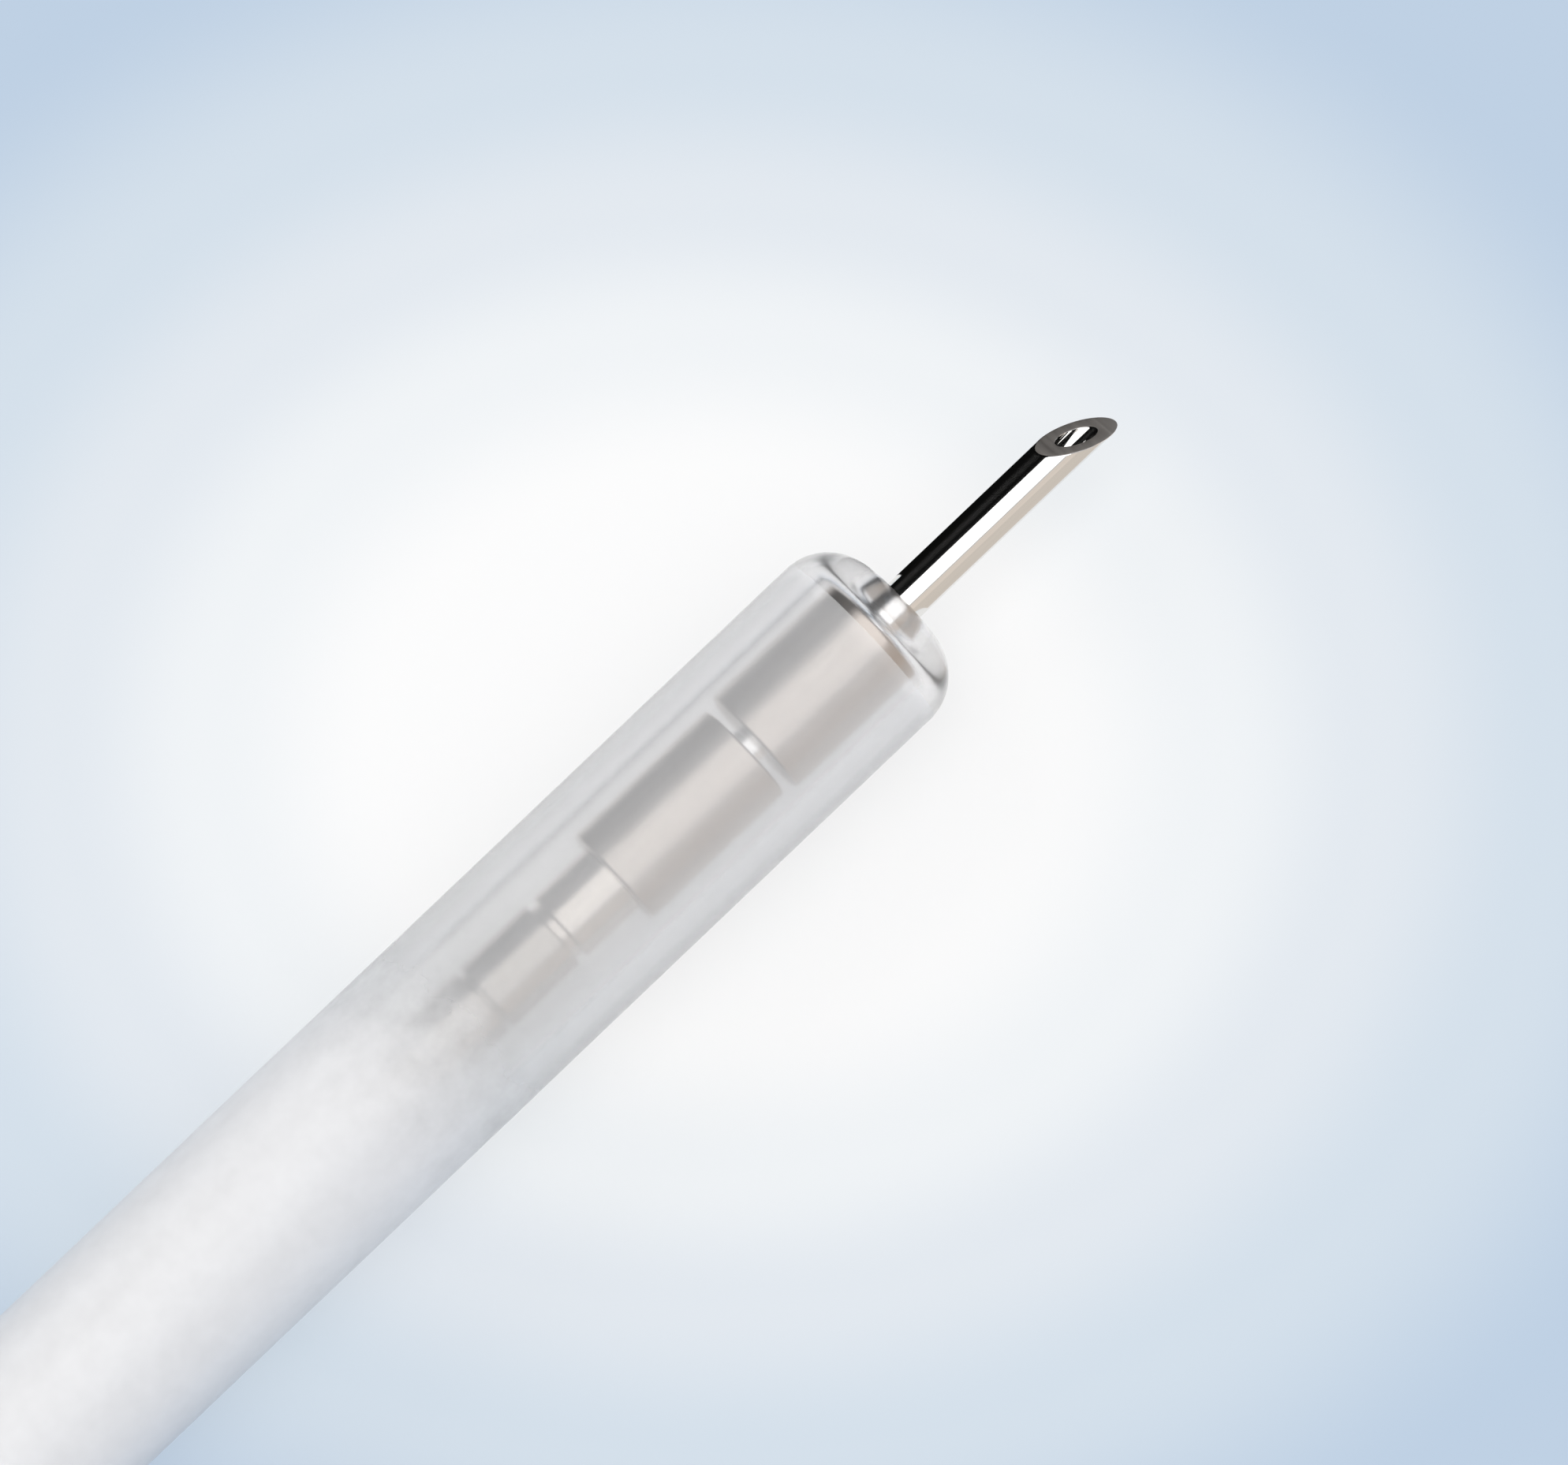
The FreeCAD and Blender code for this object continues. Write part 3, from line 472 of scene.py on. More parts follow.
def reckon_vectors(
    tree: bpy.types.NodeTree, operation: str, *terms: object
) -> bpy.types.NodeSocket:
    """Reckon with vectors.

    Args:
        tree: Node tree to add to.
        operation: Operation of the Vector Math node.
        *terms: Value or socket for each input.

    Returns:
        The result: a number for a length or a dot product, or else a vector.
    """
    node = put(tree, "ShaderNodeVectorMath", dict(enumerate(terms)), operation=operation)
    return node.outputs["Value" if operation in ("LENGTH", "DOT_PRODUCT") else "Vector"]


def blend_values(
    tree: bpy.types.NodeTree, share: object, low: float, high: float
) -> bpy.types.NodeSocket:
    """Give low + (high - low) * share, for a share between 0 and 1."""
    mapped = put(tree, "ShaderNodeMapRange", {"Value": share, "To Min": low, "To Max": high})
    return mapped.outputs["Result"]


def blend_colours(
    tree: bpy.types.NodeTree, share: object, low: object, high: object
) -> bpy.types.NodeSocket:
    """Mix two colours by a share between 0 and 1."""
    mixed = put(tree, "ShaderNodeMix", {0: share, 6: low, 7: high}, data_type="RGBA")
    return mixed.outputs[2]


def new_group(
    name: str, wants: Sequence[tuple[str, str, object]], gives: Sequence[tuple[str, str]]
) -> tuple[bpy.types.NodeTree, bpy.types.Node, bpy.types.Node]:
    """Start a node group with named sockets.

    Args:
        name: Name of the group.
        wants: Name, socket type and default of each input.
        gives: Name and socket type of each output.

    Returns:
        The group, its input node and its output node.
    """
    tree = bpy.data.node_groups.new(name, "ShaderNodeTree")
    for title, kind, default in wants:
        socket = tree.interface.new_socket(title, in_out="INPUT", socket_type=kind)
        if default is not None:
            socket.default_value = default
    for title, kind in gives:
        tree.interface.new_socket(title, in_out="OUTPUT", socket_type=kind)
    return tree, put(tree, "NodeGroupInput"), put(tree, "NodeGroupOutput")


def drawn_streaks() -> bpy.types.NodeTree:
    """Group: fine streaks that run along X, as on a drawn tube. Noise of a stretched place.

    Returns:
        The group.
    """
    tree, given, result = new_group(
        "drawn_streaks",
        [
            ("Place", "NodeSocketVector", None),
            ("Across", "NodeSocketFloat", 9000.0),
            ("Along", "NodeSocketFloat", 300.0),
        ],
        [("Streak", "NodeSocketFloat")],
    )
    scale = put(
        tree,
        "ShaderNodeCombineXYZ",
        {"X": given.outputs["Along"], "Y": given.outputs["Across"], "Z": given.outputs["Across"]},
    )
    stretched = reckon_vectors(tree, "MULTIPLY", given.outputs["Place"], scale.outputs[0])
    noise = put(
        tree,
        "ShaderNodeTexNoise",
        {"Vector": stretched, "Scale": 1.0, "Detail": 3.0, "Roughness": 0.55},
    )
    tree.links.new(noise.outputs["Fac"], result.inputs["Streak"])
    return tree


def turned_rings() -> bpy.types.NodeTree:
    """Group: fine rings about X, as a cutting tool leaves. Noise of the place along X alone.

    Returns:
        The group.
    """
    tree, given, result = new_group(
        "turned_rings",
        [("Place", "NodeSocketVector", None), ("Rings", "NodeSocketFloat", 12000.0)],
        [("Ring", "NodeSocketFloat")],
    )
    parts = put(tree, "ShaderNodeSeparateXYZ", {0: given.outputs["Place"]})
    scaled = reckon(tree, "MULTIPLY", parts.outputs["X"], given.outputs["Rings"])
    noise = put(
        tree,
        "ShaderNodeTexNoise",
        {"W": scaled, "Scale": 1.0, "Detail": 2.0},
        noise_dimensions="1D",
    )
    tree.links.new(noise.outputs["Fac"], result.inputs["Ring"])
    return tree


def rearward_haze() -> bpy.types.NodeTree:
    """Group: a smooth rise from 0 to 1 between two places along X, with a wandering edge.

    Returns:
        The group.
    """
    tree, given, result = new_group(
        "rearward_haze",
        [
            ("Place", "NodeSocketVector", None),
            ("Clear Until", "NodeSocketFloat", 0.03),
            ("Milky From", "NodeSocketFloat", 0.04),
            ("Wander", "NodeSocketFloat", 0.0),
        ],
        [("Haze", "NodeSocketFloat")],
    )
    parts = put(tree, "ShaderNodeSeparateXYZ", {0: given.outputs["Place"]})
    noise = put(
        tree,
        "ShaderNodeTexNoise",
        {"Vector": given.outputs["Place"], "Scale": 2200.0, "Detail": 3.0},
    )
    swing = reckon(tree, "SUBTRACT", noise.outputs["Fac"], 0.5)
    wandered = reckon(
        tree, "MULTIPLY_ADD", swing, given.outputs["Wander"], parts.outputs["X"]
    )
    rise = put(
        tree,
        "ShaderNodeMapRange",
        {
            "Value": wandered,
            "From Min": given.outputs["Clear Until"],
            "From Max": given.outputs["Milky From"],
        },
        interpolation_type="SMOOTHSTEP",
    )
    tree.links.new(rise.outputs["Result"], result.inputs["Haze"])
    return tree


def moulded_grain() -> bpy.types.NodeTree:
    """Group: the fine, even grain of a moulded part, and broad soft patches of tone.

    Returns:
        The group.
    """
    tree, given, result = new_group(
        "moulded_grain",
        [("Place", "NodeSocketVector", None), ("Grain", "NodeSocketFloat", 4000.0)],
        [("Height", "NodeSocketFloat"), ("Patch", "NodeSocketFloat")],
    )
    fine = put(
        tree,
        "ShaderNodeTexNoise",
        {"Vector": given.outputs["Place"], "Scale": given.outputs["Grain"], "Detail": 2.0},
    )
    broad = put(
        tree,
        "ShaderNodeTexNoise",
        {"Vector": given.outputs["Place"], "Scale": 160.0, "Detail": 3.0},
    )
    tree.links.new(fine.outputs["Fac"], result.inputs["Height"])
    tree.links.new(broad.outputs["Fac"], result.inputs["Patch"])
    return tree


class Effects:
    """The shared surface effects, built once."""

    def __init__(self) -> None:
        """Build every group."""
        self.streaks = drawn_streaks()
        self.rings = turned_rings()
        self.haze = rearward_haze()
        self.grain = moulded_grain()

    @staticmethod
    def use(
        tree: bpy.types.NodeTree, effect: bpy.types.NodeTree, **values: object
    ) -> bpy.types.Node:
        """Place a group in a material with its own values, on Object coordinates.

        Args:
            tree: The material's node tree.
            effect: Group to place.
            **values: Inputs of the group, with an underscore for each space.

        Returns:
            The group's node.
        """
        place = put(tree, "ShaderNodeTexCoord")
        node = put(tree, "ShaderNodeGroup", node_tree=effect)
        tree.links.new(place.outputs["Object"], node.inputs["Place"])
        for key, value in values.items():
            node.inputs[key.replace("_", " ")].default_value = value
        return node


def empty_material(name: str) -> tuple[bpy.types.Material, bpy.types.NodeTree]:
    """Make a material with an empty node tree.

    Args:
        name: Name of the material.

    Returns:
        The material and its node tree.
    """
    material = bpy.data.materials.new(name)
    material.use_nodes = True
    material.node_tree.nodes.clear()
    return material, material.node_tree


def start_material(name: str) -> tuple[bpy.types.Material, bpy.types.NodeTree, bpy.types.Node]:
    """Start a material that holds one Principled shader.

    Args:
        name: Name of the material.

    Returns:
        The material, its node tree and the shader.
    """
    material, tree = empty_material(name)
    shader = put(tree, "ShaderNodeBsdfPrincipled")
    put(tree, "ShaderNodeOutputMaterial", {"Surface": shader.outputs[0]})
    return material, tree, shader


def grey(value: float) -> Colour:
    """Give a neutral colour."""
    return (value, value, value, 1.0)


def tint(red: float, green: float, blue: float) -> Colour:
    """Give a colour with full alpha."""
    return (red, green, blue, 1.0)


# Depth in metres that a bump of full strength stands for.
TUBING_RELIEF = 0.00001
STEEL_RELIEF = 0.000004
MOULDED_RELIEF = 0.00003
# How far streaks in the tubing's wall change its tone and its roughness.
STREAK_TONE = 0.12
STREAK_GLOSS = 0.03


@dataclass(frozen=True)
class ClearTubing:
    """Extruded tubing that is clear near the nose and milky further back.

    Attributes:
        name: Name of the material.
        clear: Colour near the nose.
        milky: Colour further back.
        transmission: How much light goes through.
        ior: Refractive index.
        smooth: Roughness near the nose.
        frosted: Roughness further back.
        clear_until: Where along X the change starts.
        milky_from: Where along X it ends.
    """

    name: str
    clear: Colour
    milky: Colour
    transmission: float
    ior: float
    smooth: float
    frosted: float
    clear_until: float
    milky_from: float

    def build(self, effects: Effects) -> bpy.types.Material:
        """Build the material: haze drives colour and roughness, streaks vary both.

        Args:
            effects: The shared surface effects.

        Returns:
            The material.
        """
        material, tree, shader = start_material(self.name)
        haze = effects.use(
            tree, effects.haze, Clear_Until=self.clear_until, Milky_From=self.milky_from
        )
        streaks = effects.use(tree, effects.streaks, Across=5000.0, Along=220.0)
        streak = streaks.outputs["Streak"]
        colour = blend_colours(tree, haze.outputs["Haze"], self.clear, self.milky)
        share = blend_values(tree, streak, 0.0, STREAK_TONE)
        rough = blend_values(tree, haze.outputs["Haze"], self.smooth, self.frosted)
        swing = blend_values(tree, streak, -STREAK_GLOSS, STREAK_GLOSS)
        bump = put(
            tree,
            "ShaderNodeBump",
            {"Strength": 0.15, "Distance": TUBING_RELIEF, "Height": streak},
        )
        wire(
            tree,
            shader,
            {
                "Base Color": blend_colours(tree, share, colour, grey(0.75)),
                "Roughness": reckon(tree, "ADD", rough, swing, clamp=True),
                "Transmission Weight": self.transmission,
                "IOR": self.ior,
                "Normal": bump.outputs["Normal"],
            },
        )
        return material


@dataclass(frozen=True)
class MilkyLayer:
    """Thin milky plastic that hardly veils what is behind it at first, and hides it further back.

    Attributes:
        name: Name of the material.
        colour: Colour of the milk.
        roughness: Gloss of its surface.
        faint: Cover of its front part.
        faint_from: Where along X that cover starts and where it is reached.
        dense: Cover of its rear part.
        dense_from: Where along X the rise to it starts and ends.
        wander: How far the rise moves back and forth round the piece.
        patchy: How far the cover varies from place to place.
    """

    name: str
    colour: Colour
    roughness: float
    faint: float
    faint_from: tuple[float, float]
    dense: float
    dense_from: tuple[float, float]
    wander: float
    patchy: float

    def build(self, effects: Effects) -> bpy.types.Material:
        """Build the material: two rises along X add up to its alpha, and patches vary it.

        Args:
            effects: The shared surface effects.

        Returns:
            The material.
        """
        material, tree, shader = start_material(self.name)
        front = effects.use(
            tree, effects.haze, Clear_Until=self.faint_from[0], Milky_From=self.faint_from[1]
        )
        rear = effects.use(
            tree,
            effects.haze,
            Clear_Until=self.dense_from[0],
            Milky_From=self.dense_from[1],
            Wander=self.wander,
        )
        patches = effects.use(tree, effects.grain, Grain=2600.0)
        cover = reckon(
            tree,
            "ADD",
            blend_values(tree, front.outputs["Haze"], 0.0, self.faint),
            blend_values(tree, rear.outputs["Haze"], 0.0, self.dense - self.faint),
        )
        patch = blend_values(
            tree, patches.outputs["Height"], 1.0 - self.patchy, 1.0 + self.patchy
        )
        alpha = reckon(tree, "MULTIPLY", cover, patch, clamp=True)
        wire(
            tree,
            shader,
            {"Base Color": self.colour, "Roughness": self.roughness, "Alpha": alpha},
        )
        return material


@dataclass(frozen=True)
class Steel:
    """Stainless steel, drawn along X or turned about X."""

    name: str
    bright: Colour
    shadow: Colour
    roughness: float
    spread: float
    turned: bool
    bump: float

    def build(self, effects: Effects) -> bpy.types.Material:
        """Build the material: streaks or rings vary its colour, roughness and relief.

        Args:
            effects: The shared surface effects.

        Returns:
            The material.
        """
        material, tree, shader = start_material(self.name)
        if self.turned:
            mark = effects.use(tree, effects.rings, Rings=14000.0).outputs["Ring"]
        else:
            streaks = effects.use(tree, effects.streaks, Across=14000.0, Along=500.0)
            mark = streaks.outputs["Streak"]
        bump = put(
            tree,
            "ShaderNodeBump",
            {"Strength": self.bump, "Distance": STEEL_RELIEF, "Height": mark},
        )
        wire(
            tree,
            shader,
            {
                "Base Color": blend_colours(tree, mark, self.shadow, self.bright),
                "Metallic": 1.0,
                "Roughness": blend_values(
                    tree, mark, self.roughness - self.spread, self.roughness + self.spread
                ),
                "Normal": bump.outputs["Normal"],
            },
        )
        return material


@dataclass(frozen=True)
class Moulding:
    """Injection-moulded plastic or rubber with a fine grain."""

    name: str
    colour: Colour
    patch: Colour
    roughness: float
    spread: float
    grain: float
    relief: float
    coat: float = 0.0
    transmission: float = 0.0

    def build(self, effects: Effects) -> bpy.types.Material:
        """Build the material: broad patches vary tone and gloss, fine grain gives relief.

        Args:
            effects: The shared surface effects.

        Returns:
            The material.
        """
        material, tree, shader = start_material(self.name)
        grain = effects.use(tree, effects.grain, Grain=self.grain)
        bump = put(
            tree,
            "ShaderNodeBump",
            {
                "Strength": self.relief,
                "Distance": MOULDED_RELIEF,
                "Height": grain.outputs["Height"],
            },
        )
        wire(
            tree,
            shader,
            {
                "Base Color": blend_colours(
                    tree, grain.outputs["Patch"], self.colour, self.patch
                ),
                "Roughness": blend_values(
                    tree,
                    grain.outputs["Patch"],
                    self.roughness - self.spread,
                    self.roughness + self.spread,
                ),
                "Coat Weight": self.coat,
                "Coat Roughness": 0.12,
                "Transmission Weight": self.transmission,
                "Normal": bump.outputs["Normal"],
            },
        )
        return material


SHEATH_TIP_FINISH = ClearTubing(
    name="sheath_tubing",
    clear=tint(0.985, 0.98, 0.985),
    milky=tint(0.98, 0.98, 0.98),
    transmission=0.955,
    ior=1.4,
    smooth=0.17,
    frosted=0.235,
    clear_until=0.0275,
    milky_from=0.0345,
)
SHEATH_SKIN_FINISH = MilkyLayer(
    name="sheath_milky_skin",
    colour=tint(0.985, 0.98, 0.985),
    roughness=0.3,
    faint=0.17,
    faint_from=(0.0262, 0.0272),
    dense=0.62,
    dense_from=(0.0326, 0.0352),
    wander=0.0012,
    patchy=0.1,
)
CORD_FINISH = Moulding(
    name="coiled_sheath_tubing",
    colour=tint(0.86, 0.865, 0.875),
    patch=tint(0.8, 0.81, 0.83),
    roughness=0.4,
    spread=0.06,
    grain=1500.0,
    relief=0.1,
    coat=0.25,
    transmission=0.25,
)
INNER_TUBE_FINISH = MilkyLayer(
    name="inner_tubing",
    colour=tint(0.95, 0.95, 0.95),
    roughness=0.4,
    faint=0.05,
    faint_from=(0.0315, 0.0335),
    dense=0.95,
    dense_from=(0.0349, 0.0362),
    wander=0.0004,
    patchy=0.12,
)
CANNULA_FINISH = Steel(
    name="polished_cannula",
    bright=tint(0.86, 0.85, 0.83),
    shadow=tint(0.78, 0.77, 0.75),
    roughness=0.07,
    spread=0.02,
    turned=False,
    bump=0.08,
)
GROUND_FINISH = Steel(
    name="ground_bevel",
    bright=tint(0.98, 0.92, 0.86),
    shadow=tint(0.78, 0.72, 0.67),
    roughness=0.5,
    spread=0.06,
    turned=True,
    bump=0.3,
)
SLEEVE_FINISH = Steel(
    name="satin_sleeve",
    bright=tint(0.6, 0.54, 0.48),
    shadow=tint(0.47, 0.415, 0.37),
    roughness=0.3,
    spread=0.05,
    turned=False,
    bump=0.25,
)
ADAPTER_FINISH = Steel(
    name="drawn_adapter",
    bright=tint(0.68, 0.63, 0.57),
    shadow=tint(0.56, 0.51, 0.46),
    roughness=0.14,
    spread=0.03,
    turned=False,
    bump=0.15,
)
FERRULE_FINISH = Steel(
    name="turned_fitting",
    bright=tint(0.75, 0.75, 0.74),
    shadow=tint(0.62, 0.62, 0.62),
    roughness=0.3,
    spread=0.05,
    turned=True,
    bump=0.3,
)
WHITE_FINISH = Moulding(
    name="white_moulding",
    colour=tint(0.82, 0.83, 0.83),
    patch=tint(0.78, 0.79, 0.8),
    roughness=0.36,
    spread=0.05,
    grain=3500.0,
    relief=0.12,
)
BLUE_FINISH = Moulding(
    name="blue_moulding",
    colour=tint(0.045, 0.17, 0.42),
    patch=tint(0.04, 0.15, 0.38),
    roughness=0.42,
    spread=0.05,
    grain=3000.0,
    relief=0.2,
)
RELIEF_FINISH = Moulding(
    name="bending_sleeve_rubber",
    colour=tint(0.36, 0.42, 0.5),
    patch=tint(0.31, 0.37, 0.45),
    roughness=0.55,
    spread=0.06,
    grain=3500.0,
    relief=0.25,
)
SEAL_FINISH = Moulding(
    name="black_seal_rubber",
    colour=tint(0.02, 0.02, 0.022),
    patch=tint(0.03, 0.03, 0.032),
    roughness=0.5,
    spread=0.08,
    grain=5000.0,
    relief=0.2,
)
HUB_FINISH = Moulding(
    name="clear_hub_moulding",
    colour=tint(0.86, 0.9, 0.93),
    patch=tint(0.82, 0.87, 0.91),
    roughness=0.14,
    spread=0.04,
    grain=2500.0,
    relief=0.05,
    transmission=0.75,
)


class Finishes:
    """All materials by slot, built once and put on pieces."""

    def __init__(self) -> None:
        """Build every material."""
        effects = Effects()
        self.cord = CORD_FINISH.build(effects)
        self.turned = FERRULE_FINISH.build(effects)
        self.ground = GROUND_FINISH.build(effects)
        self.drawn = ADAPTER_FINISH.build(effects)
        self.skin = SHEATH_SKIN_FINISH.build(effects)
        self.of_slot = {
            Slot.SHEATH: SHEATH_TIP_FINISH.build(effects),
            Slot.NEEDLE: CANNULA_FINISH.build(effects),
            Slot.SLEEVE: SLEEVE_FINISH.build(effects),
            Slot.INNER: INNER_TUBE_FINISH.build(effects),
            Slot.WHITE: WHITE_FINISH.build(effects),
            Slot.BLUE: BLUE_FINISH.build(effects),
            Slot.RELIEF: RELIEF_FINISH.build(effects),
            Slot.SEAL: SEAL_FINISH.build(effects),
            Slot.HUB: HUB_FINISH.build(effects),
        }

    def fit(
        self,
        piece: bpy.types.Object,
        body: Body,
        slot: Slot,
        nodes: Sequence[str],
        material: bpy.types.Material | None = None,
    ) -> bpy.types.Object:
        """Dress a new piece, let it ride on its body, and let it stand for CAD nodes.

        Args:
            piece: New piece.
            body: Body that it rides on.
            slot: Slot of the record that it takes its finish from.
            nodes: CAD nodes that it replaces.
            material: Material to use in place of the slot's own.

        Returns:
            The piece.
        """
        piece.data.materials.clear()
        piece.data.materials.append(material or self.of_slot[slot])
        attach(piece, body.value)
        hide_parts(*nodes)
        LOG.info("%s rides on %s and stands for %s", piece.name, body.value, ", ".join(nodes))
        return piece

    def dress_node(self, node: str, slot: Slot, material: bpy.types.Material | None = None) -> None:
        """Give a kept CAD node its material.

        Args:
            node: Name of the CAD node.
            slot: Slot of the record that it takes its finish from.
            material: Material to use in place of the slot's own.
        """
        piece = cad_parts[node]
        for held in piece.material_slots:
            held.material = material or self.of_slot[slot]
        LOG.info("%s keeps its CAD shape", node)


# ---------------------------------------------------------------------------------------
# Far end of the instrument
# ---------------------------------------------------------------------------------------

TIP_AXIS = Axis(origin=(26.6, -50.1, 1.15), along=(-1, 0, 0), side=(0, -1, 0), up=(0, 0, 1))
HANDLE_AXIS = Axis(origin=(25.0, 0.0, 7.5), along=(1, 0, 0), side=(0, 1, 0), up=(0, 0, 1))


@dataclass
class SheathEnd:
    """Clear end of the sheath: round nose, front hole, inner shoulder, bore and milky skin."""

    outer: float = 1.143
    skin: float = 1.15
    skin_gap: float = 0.0005
    skin_front: float = -0.6
    bore: float = 0.8
    hole: float = 0.39
    nose_wall: float = 0.42
    nose_round: float = 0.67
    length: float = 28.0
    turns: int = 160

    def build(self, finishes: Finishes) -> bpy.types.Object:
        """Turn two closed outlines, the wall's and its thin skin's, about the sheath's axis.

        Args:
            finishes: All materials.

        Returns:
            The piece.
        """
        outline = soften(
            [
                (0.0, self.hole, 0.05),
                (0.0, self.outer, self.nose_round),
                (-self.length, self.outer, 0.03),
                (-self.length, self.bore, 0.03),
                (-self.nose_wall, self.bore, 0.12),
                (-self.nose_wall, self.hole, 0.05),
            ],
            steps=14,
        )
        wall = turn_outline(TIP_AXIS, divide(outline, 1.0), self.turns)
        under = self.outer + self.skin_gap
        skin_outline = np.array(
            [
                (self.skin_front, under),
                (self.skin_front, self.skin),
                (-self.length, self.skin),
                (-self.length, under),
            ]
        )
        skin = turn_outline(TIP_AXIS, divide(skin_outline, 1.0), self.turns)
        piece = join_rings("clear_sheath_end", [wall, skin])
        finishes.fit(piece, Body.HANDLE, Slot.SHEATH, ["sheath_tip"])
        piece.data.materials.append(finishes.skin)
        number = np.arange(len(piece.data.polygons))
        on_skin = number >= wall.shape[0] * wall.shape[1]
        piece.data.polygons.foreach_set("material_index", on_skin.astype(int))
        return piece


@dataclass
class Cannula:
    """Steel tube ground to one plane bevel, with a little of the edge rolled over."""

    outer: float = 0.2575
    bore: float = 0.13
    point: float = 3.15
    rear: float = -8.63
    bevel_angle: float = 29.0
    bevel_clock: float = 27.0
    edge: float = 0.012
    bevel_rows: tuple[int, int] = (3, 7)
    turns: int = 144

    def build(self, finishes: Finishes) -> bpy.types.Object:
        """Build the tube, whose front face lies on the bevel's plane.

        A wall point at height h towards the heel ends at (point - (h + outer) / tan(bevel)).

        Args:
            finishes: All materials.

        Returns:
            The piece.
        """
        edge = self.edge
        radii = np.array(
            [
                self.outer,
                self.outer,
                self.outer,
                self.outer - 0.3 * edge,
                self.outer - edge,
                (self.outer + self.bore) / 2 + 0.01,
                (self.outer + self.bore) / 2 - 0.01,
                self.bore + edge,
                self.bore + 0.3 * edge,
                self.bore,
                self.bore,
                self.bore,
            ]
        )
        behind = np.array(
            [math.inf, 2.5, 1.0, 0.3, 0.0, 0.0, 0.0, 0.0, 0.3, 1.0, 2.5, math.inf]
        )
        angles = np.linspace(0.0, 2.0 * math.pi, self.turns, endpoint=False)
        radius, angle = np.meshgrid(radii, angles, indexing="ij")
        heel = math.radians(90.0 - self.bevel_clock)
        height = radius * np.cos(angle - heel)
        plane = self.point - (height + self.outer) / math.tan(math.radians(self.bevel_angle))
        at_rear = np.isinf(behind)
        drop = np.where(at_rear, 0.0, behind)[:, None] * edge
        along = np.where(at_rear[:, None], self.rear, plane - drop)
        grid = TIP_AXIS.place(along, radius * np.cos(angle), radius * np.sin(angle))
        piece = join_rings("bevelled_cannula", [grid])
        finishes.fit(piece, Body.NEEDLE, Slot.NEEDLE, ["needle_cannula"])
        piece.data.materials.append(finishes.ground)
        row = np.arange(len(radii)).repeat(self.turns)
        on_bevel = (row >= self.bevel_rows[0]) & (row <= self.bevel_rows[1])
        piece.data.polygons.foreach_set("material_index", on_bevel.astype(int))
        return piece


@dataclass
class NeedleSleeves:
    """Steel sleeves on the cannula and the milky tube that is pushed over the last."""

    on_needle: float = 0.2675
    on_adapter: float = 0.445
    collar: float = 0.67
    collar_ends: tuple[float, float] = (-0.44, -2.25)
    crimp: float = 0.62
    crimp_ends: tuple[float, float] = (-2.395, -4.395)
    tube: float = 0.65
    tube_ends: tuple[float, float] = (-5.315, -18.815)
    land: float = 0.435
    groove: float = 0.365
    first_groove: tuple[float, float] = (-5.195, -5.315)
    second_groove: tuple[float, float] = (-6.315, -6.375)
    tail: float = 0.4
    tail_ends: tuple[float, float] = (-7.225, -8.345)
    round: float = 0.035
    turns: int = 144

    def sleeve(
        self, name: str, ends: tuple[float, float], outer: float, inner: float
    ) -> bpy.types.Object:
        """Build one plain sleeve with rounded edges.

        Args:
            name: Name of the piece.
            ends: Places of its front and rear faces.
            outer: Outer radius.
            inner: Inner radius.

        Returns:
            The piece, not yet dressed.
        """
        front, rear = ends
        outline = soften(
            [
                (front, inner, 0.01),
                (front, outer, self.round),
                (rear, outer, self.round),
                (rear, inner, 0.01),
            ]
        )
        return turn_piece(name, TIP_AXIS, outline, 0.4, self.turns)

    def build(self, finishes: Finishes) -> list[bpy.types.Object]:
        """Build the stop collar, the crimp sleeve, the adapter and the inner tube.

        Args:
            finishes: All materials.

        Returns:
            The four pieces, from the nose backwards.
        """
        collar = self.sleeve("front_stop_collar", self.collar_ends, self.collar, self.on_needle)
        finishes.fit(collar, Body.NEEDLE, Slot.SLEEVE, ["stop_collar"])
        crimp = self.sleeve("crimped_sleeve", self.crimp_ends, self.crimp, self.on_adapter)
        finishes.fit(crimp, Body.NEEDLE, Slot.SLEEVE, ["crimp_sleeve"])
        outline = soften(
            [
                (self.crimp_ends[0], self.on_needle, 0.01),
                (self.crimp_ends[0], self.land, 0.02),
                (self.first_groove[0], self.land, 0.02),
                (self.first_groove[0], self.groove, 0.02),
                (self.first_groove[1], self.groove, 0.02),
                (self.first_groove[1], self.land, 0.02),
                (self.second_groove[0], self.land, 0.02),
                (self.second_groove[0], self.groove, 0.015),
                (self.second_groove[1], self.groove, 0.015),
                (self.second_groove[1], self.land, 0.02),
                (self.tail_ends[0], self.land, 0.03),
                (self.tail_ends[0], self.tail, 0.02),
                (self.tail_ends[1], self.tail, 0.03),
                (self.tail_ends[1], self.on_needle, 0.01),
            ]
        )
        adapter = turn_piece("stepped_adapter", TIP_AXIS, outline, 0.4, self.turns)
        finishes.fit(adapter, Body.NEEDLE, Slot.SLEEVE, ["tube_adapter"], finishes.drawn)
        tube = self.sleeve("milky_inner_tube", self.tube_ends, self.tube, self.on_adapter)
        finishes.fit(tube, Body.NEEDLE, Slot.INNER, ["inner_tube_front"])
        return [collar, crimp, adapter, tube]


# ---------------------------------------------------------------------------------------
# Long sheath
# ---------------------------------------------------------------------------------------


